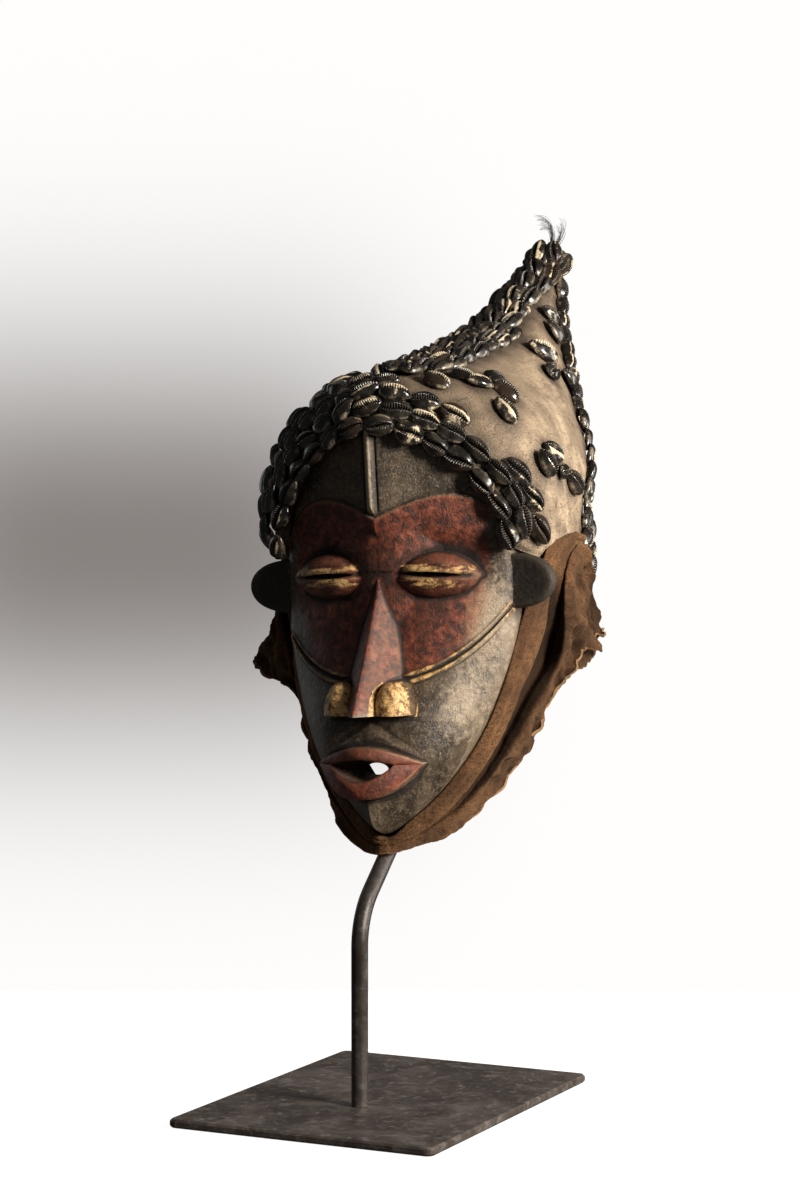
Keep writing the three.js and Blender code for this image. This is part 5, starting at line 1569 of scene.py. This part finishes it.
def tube(path, radius, sides):
    """A thin closed tube along a path of points, tapering to its end."""
    ahead = unit(np.gradient(path, axis=0))
    across = unit(np.cross(ahead, (0.3, 0.9, 0.1)))
    third = np.cross(ahead, across)
    turns = np.linspace(0, 2 * np.pi, sides, endpoint=False)
    size = np.linspace(1, 0.35, len(path))[:, None, None] * radius
    ring = across[:, None] * np.cos(turns)[None, :, None] + third[:, None] * np.sin(turns)[None, :, None]
    return (path[:, None] + size * ring).reshape(-1, 3), tube_faces(len(path), sides)


HAIR_ROOT = (HOOD_LEAN - 0.3, 250, 524.5)
# Each curl: where its tip reaches from the root, how it bows, and how many hairs it has
HAIR_CURLS = [
    ((-8.8, -7, 23.5), (3.7, 0, 5.5), 30),
    ((4.2, 9, 22.5), (4.8, 0, 2.3), 25),
    ((-1.7, 2.3, 14), (0, 0, 1), 9),
]


def build_hair():
    """Thin bent hairs in two curls, with a few stray ones between."""
    rng = np.random.default_rng(4)
    t = np.linspace(0, 1, 12)[:, None]
    all_points, all_faces, count = [], [], 0
    for tip, belly, strands in HAIR_CURLS:
        for _ in range(strands):
            spread = rng.normal(0, 1, 3)
            end = np.array(tip) * rng.uniform(0.6, 1.0) + spread * (1.3, 2.2, 1.0)
            bow = belly + rng.normal(0, 0.8, 3)
            start = HAIR_ROOT + rng.normal(0, 0.5, 3)
            path = start + end * t + 4 * t * (1 - t) * bow + (1 - t) * t * spread * 0.8
            points, faces = tube(path, rng.uniform(0.13, 0.2), 4)
            all_faces += [[i + count for i in face] for face in faces]
            all_points.append(points)
            count += len(points)
    nodes = Nodes("hair")
    colour = nodes.mix(nodes.noise(nodes.place(), 600), (0.012, 0.009, 0.007), (0.05, 0.035, 0.024))
    material = nodes.surface(Base_Color=colour, Roughness=0.45)
    hair = make_mesh("hair_tuft_strands", np.concatenate(all_points), all_faces)
    return finish_piece(hair, material, ["hair_tuft"])


# Stand


def steel_material(name, lightness):
    nodes = Nodes(name)
    where = nodes.place()
    blotch = nodes.noise(where, 170, 6, 0.72, 0.8)
    colour = nodes.layers(
        (0.06, 0.049, 0.043),
        (nodes.noise(where, 26, 6, 0.65, 0.8), 0.35, 0.68, 1, (0.156, 0.13, 0.114)),
        (blotch, 0.5, 0.68, 0.6, (0.32, 0.275, 0.25)),
        (blotch, 0.5, 0.3, 0.5, (0.11, 0.06, 0.038)),
    )
    relief = 0.7 * blotch + 0.5 * nodes.noise(where, 1200, 3, 0.7)
    return nodes.surface(
        Base_Color=nodes.mix(1.0, colour, (lightness, lightness, lightness), "MULTIPLY"), Metallic=0.35,
        Roughness=nodes.fade(blotch, 0.3, 0.7, 0.3, 0.5), Normal=nodes.bump(relief, 0.0004, 0.5),
    )


# One steel in two copies: the plate's and crossbar's is lighter, which paints in the bright backdrop's
# reflection on the plate's top; the rod's is darker.
PLATE_LIGHTNESS_WITH_REFLECTION, ROD_LIGHTNESS = 0.95, 0.45
ROD_RADIUS, ROD_FOOT_Y, ROD_FOOT_Z, ROD_STRAIGHT_TOP = 5.0, -33.0, 5.3, 99.0
ROD_BEND_RADIUS, ROD_LEAN, ROD_SIDES = 42.0, math.radians(49), 32
STEM_Y, STEM_TOP, STEM_BEND_RADIUS = 52.0, 352.0, 30.0


def rod_path():
    """The rod's centre line as y and z: up, one bend back, a straight lean, one bend up to the stem."""
    turns = np.linspace(0, ROD_LEAN, 28)
    low_y = ROD_FOOT_Y + ROD_BEND_RADIUS * (1 - np.cos(turns))
    low_z = ROD_STRAIGHT_TOP + ROD_BEND_RADIUS * np.sin(turns)
    high_y = STEM_Y - STEM_BEND_RADIUS * (1 - np.cos(turns[::-1]))
    lean_end_z = low_z[-1] + (high_y[0] - low_y[-1]) / math.tan(ROD_LEAN)
    high_z = lean_end_z + STEM_BEND_RADIUS * (math.sin(ROD_LEAN) - np.sin(turns[::-1]))
    foot_z = np.linspace(ROD_FOOT_Z, ROD_STRAIGHT_TOP, 12, endpoint=False)
    top_z = np.linspace(high_z[-1], STEM_TOP, 13)[1:]
    y = np.r_[np.full(12, ROD_FOOT_Y), low_y, high_y, np.full(12, STEM_Y)]
    return np.stack([y, np.r_[foot_z, low_z, high_z, top_z]], axis=1)


def build_rod(material):
    path = rod_path()
    ahead = unit(np.gradient(path, axis=0))
    turns = np.linspace(0, 2 * np.pi, ROD_SIDES, endpoint=False)
    ring_x = np.cos(turns)[None, :] + 0 * path[:, :1]
    ring_y = -ahead[:, 1:] * np.sin(turns)[None, :]
    ring_z = ahead[:, :1] * np.sin(turns)[None, :]
    ring = ROD_RADIUS * np.stack([ring_x, ring_y, ring_z], axis=-1)
    points = (np.insert(path, 0, 0, axis=1)[:, None] + ring).reshape(-1, 3)
    rod = make_mesh("stand_rod_bent", points, tube_faces(len(path), ROD_SIDES, flipped=True), in_mask=False)
    return finish_piece(rod, material, ["stand_rod"], crease=50)


def dress_stand():
    build_rod(steel_material("stand_steel_rod", ROD_LIGHTNESS))
    steel = steel_material("stand_steel", PLATE_LIGHTNESS_WITH_REFLECTION)
    for name in ("base_plate", "stand_crossbar"):
        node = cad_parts[name]
        node.data.materials.clear()
        node.data.materials.append(steel)


bpy.context.scene.view_settings.view_transform = "Standard"
add_camera()
add_lights()
add_stage()
build_face()
shell_pieces = lay_all_shells()
build_hood([spot for shells in shell_pieces for spot in shells.spots])
cowrie = shell_material()
for shells in shell_pieces:
    shells.build(cowrie)
cloth = cloth_material()
build_cloth(cloth)
build_lining(cloth)
build_hair()
dress_stand()
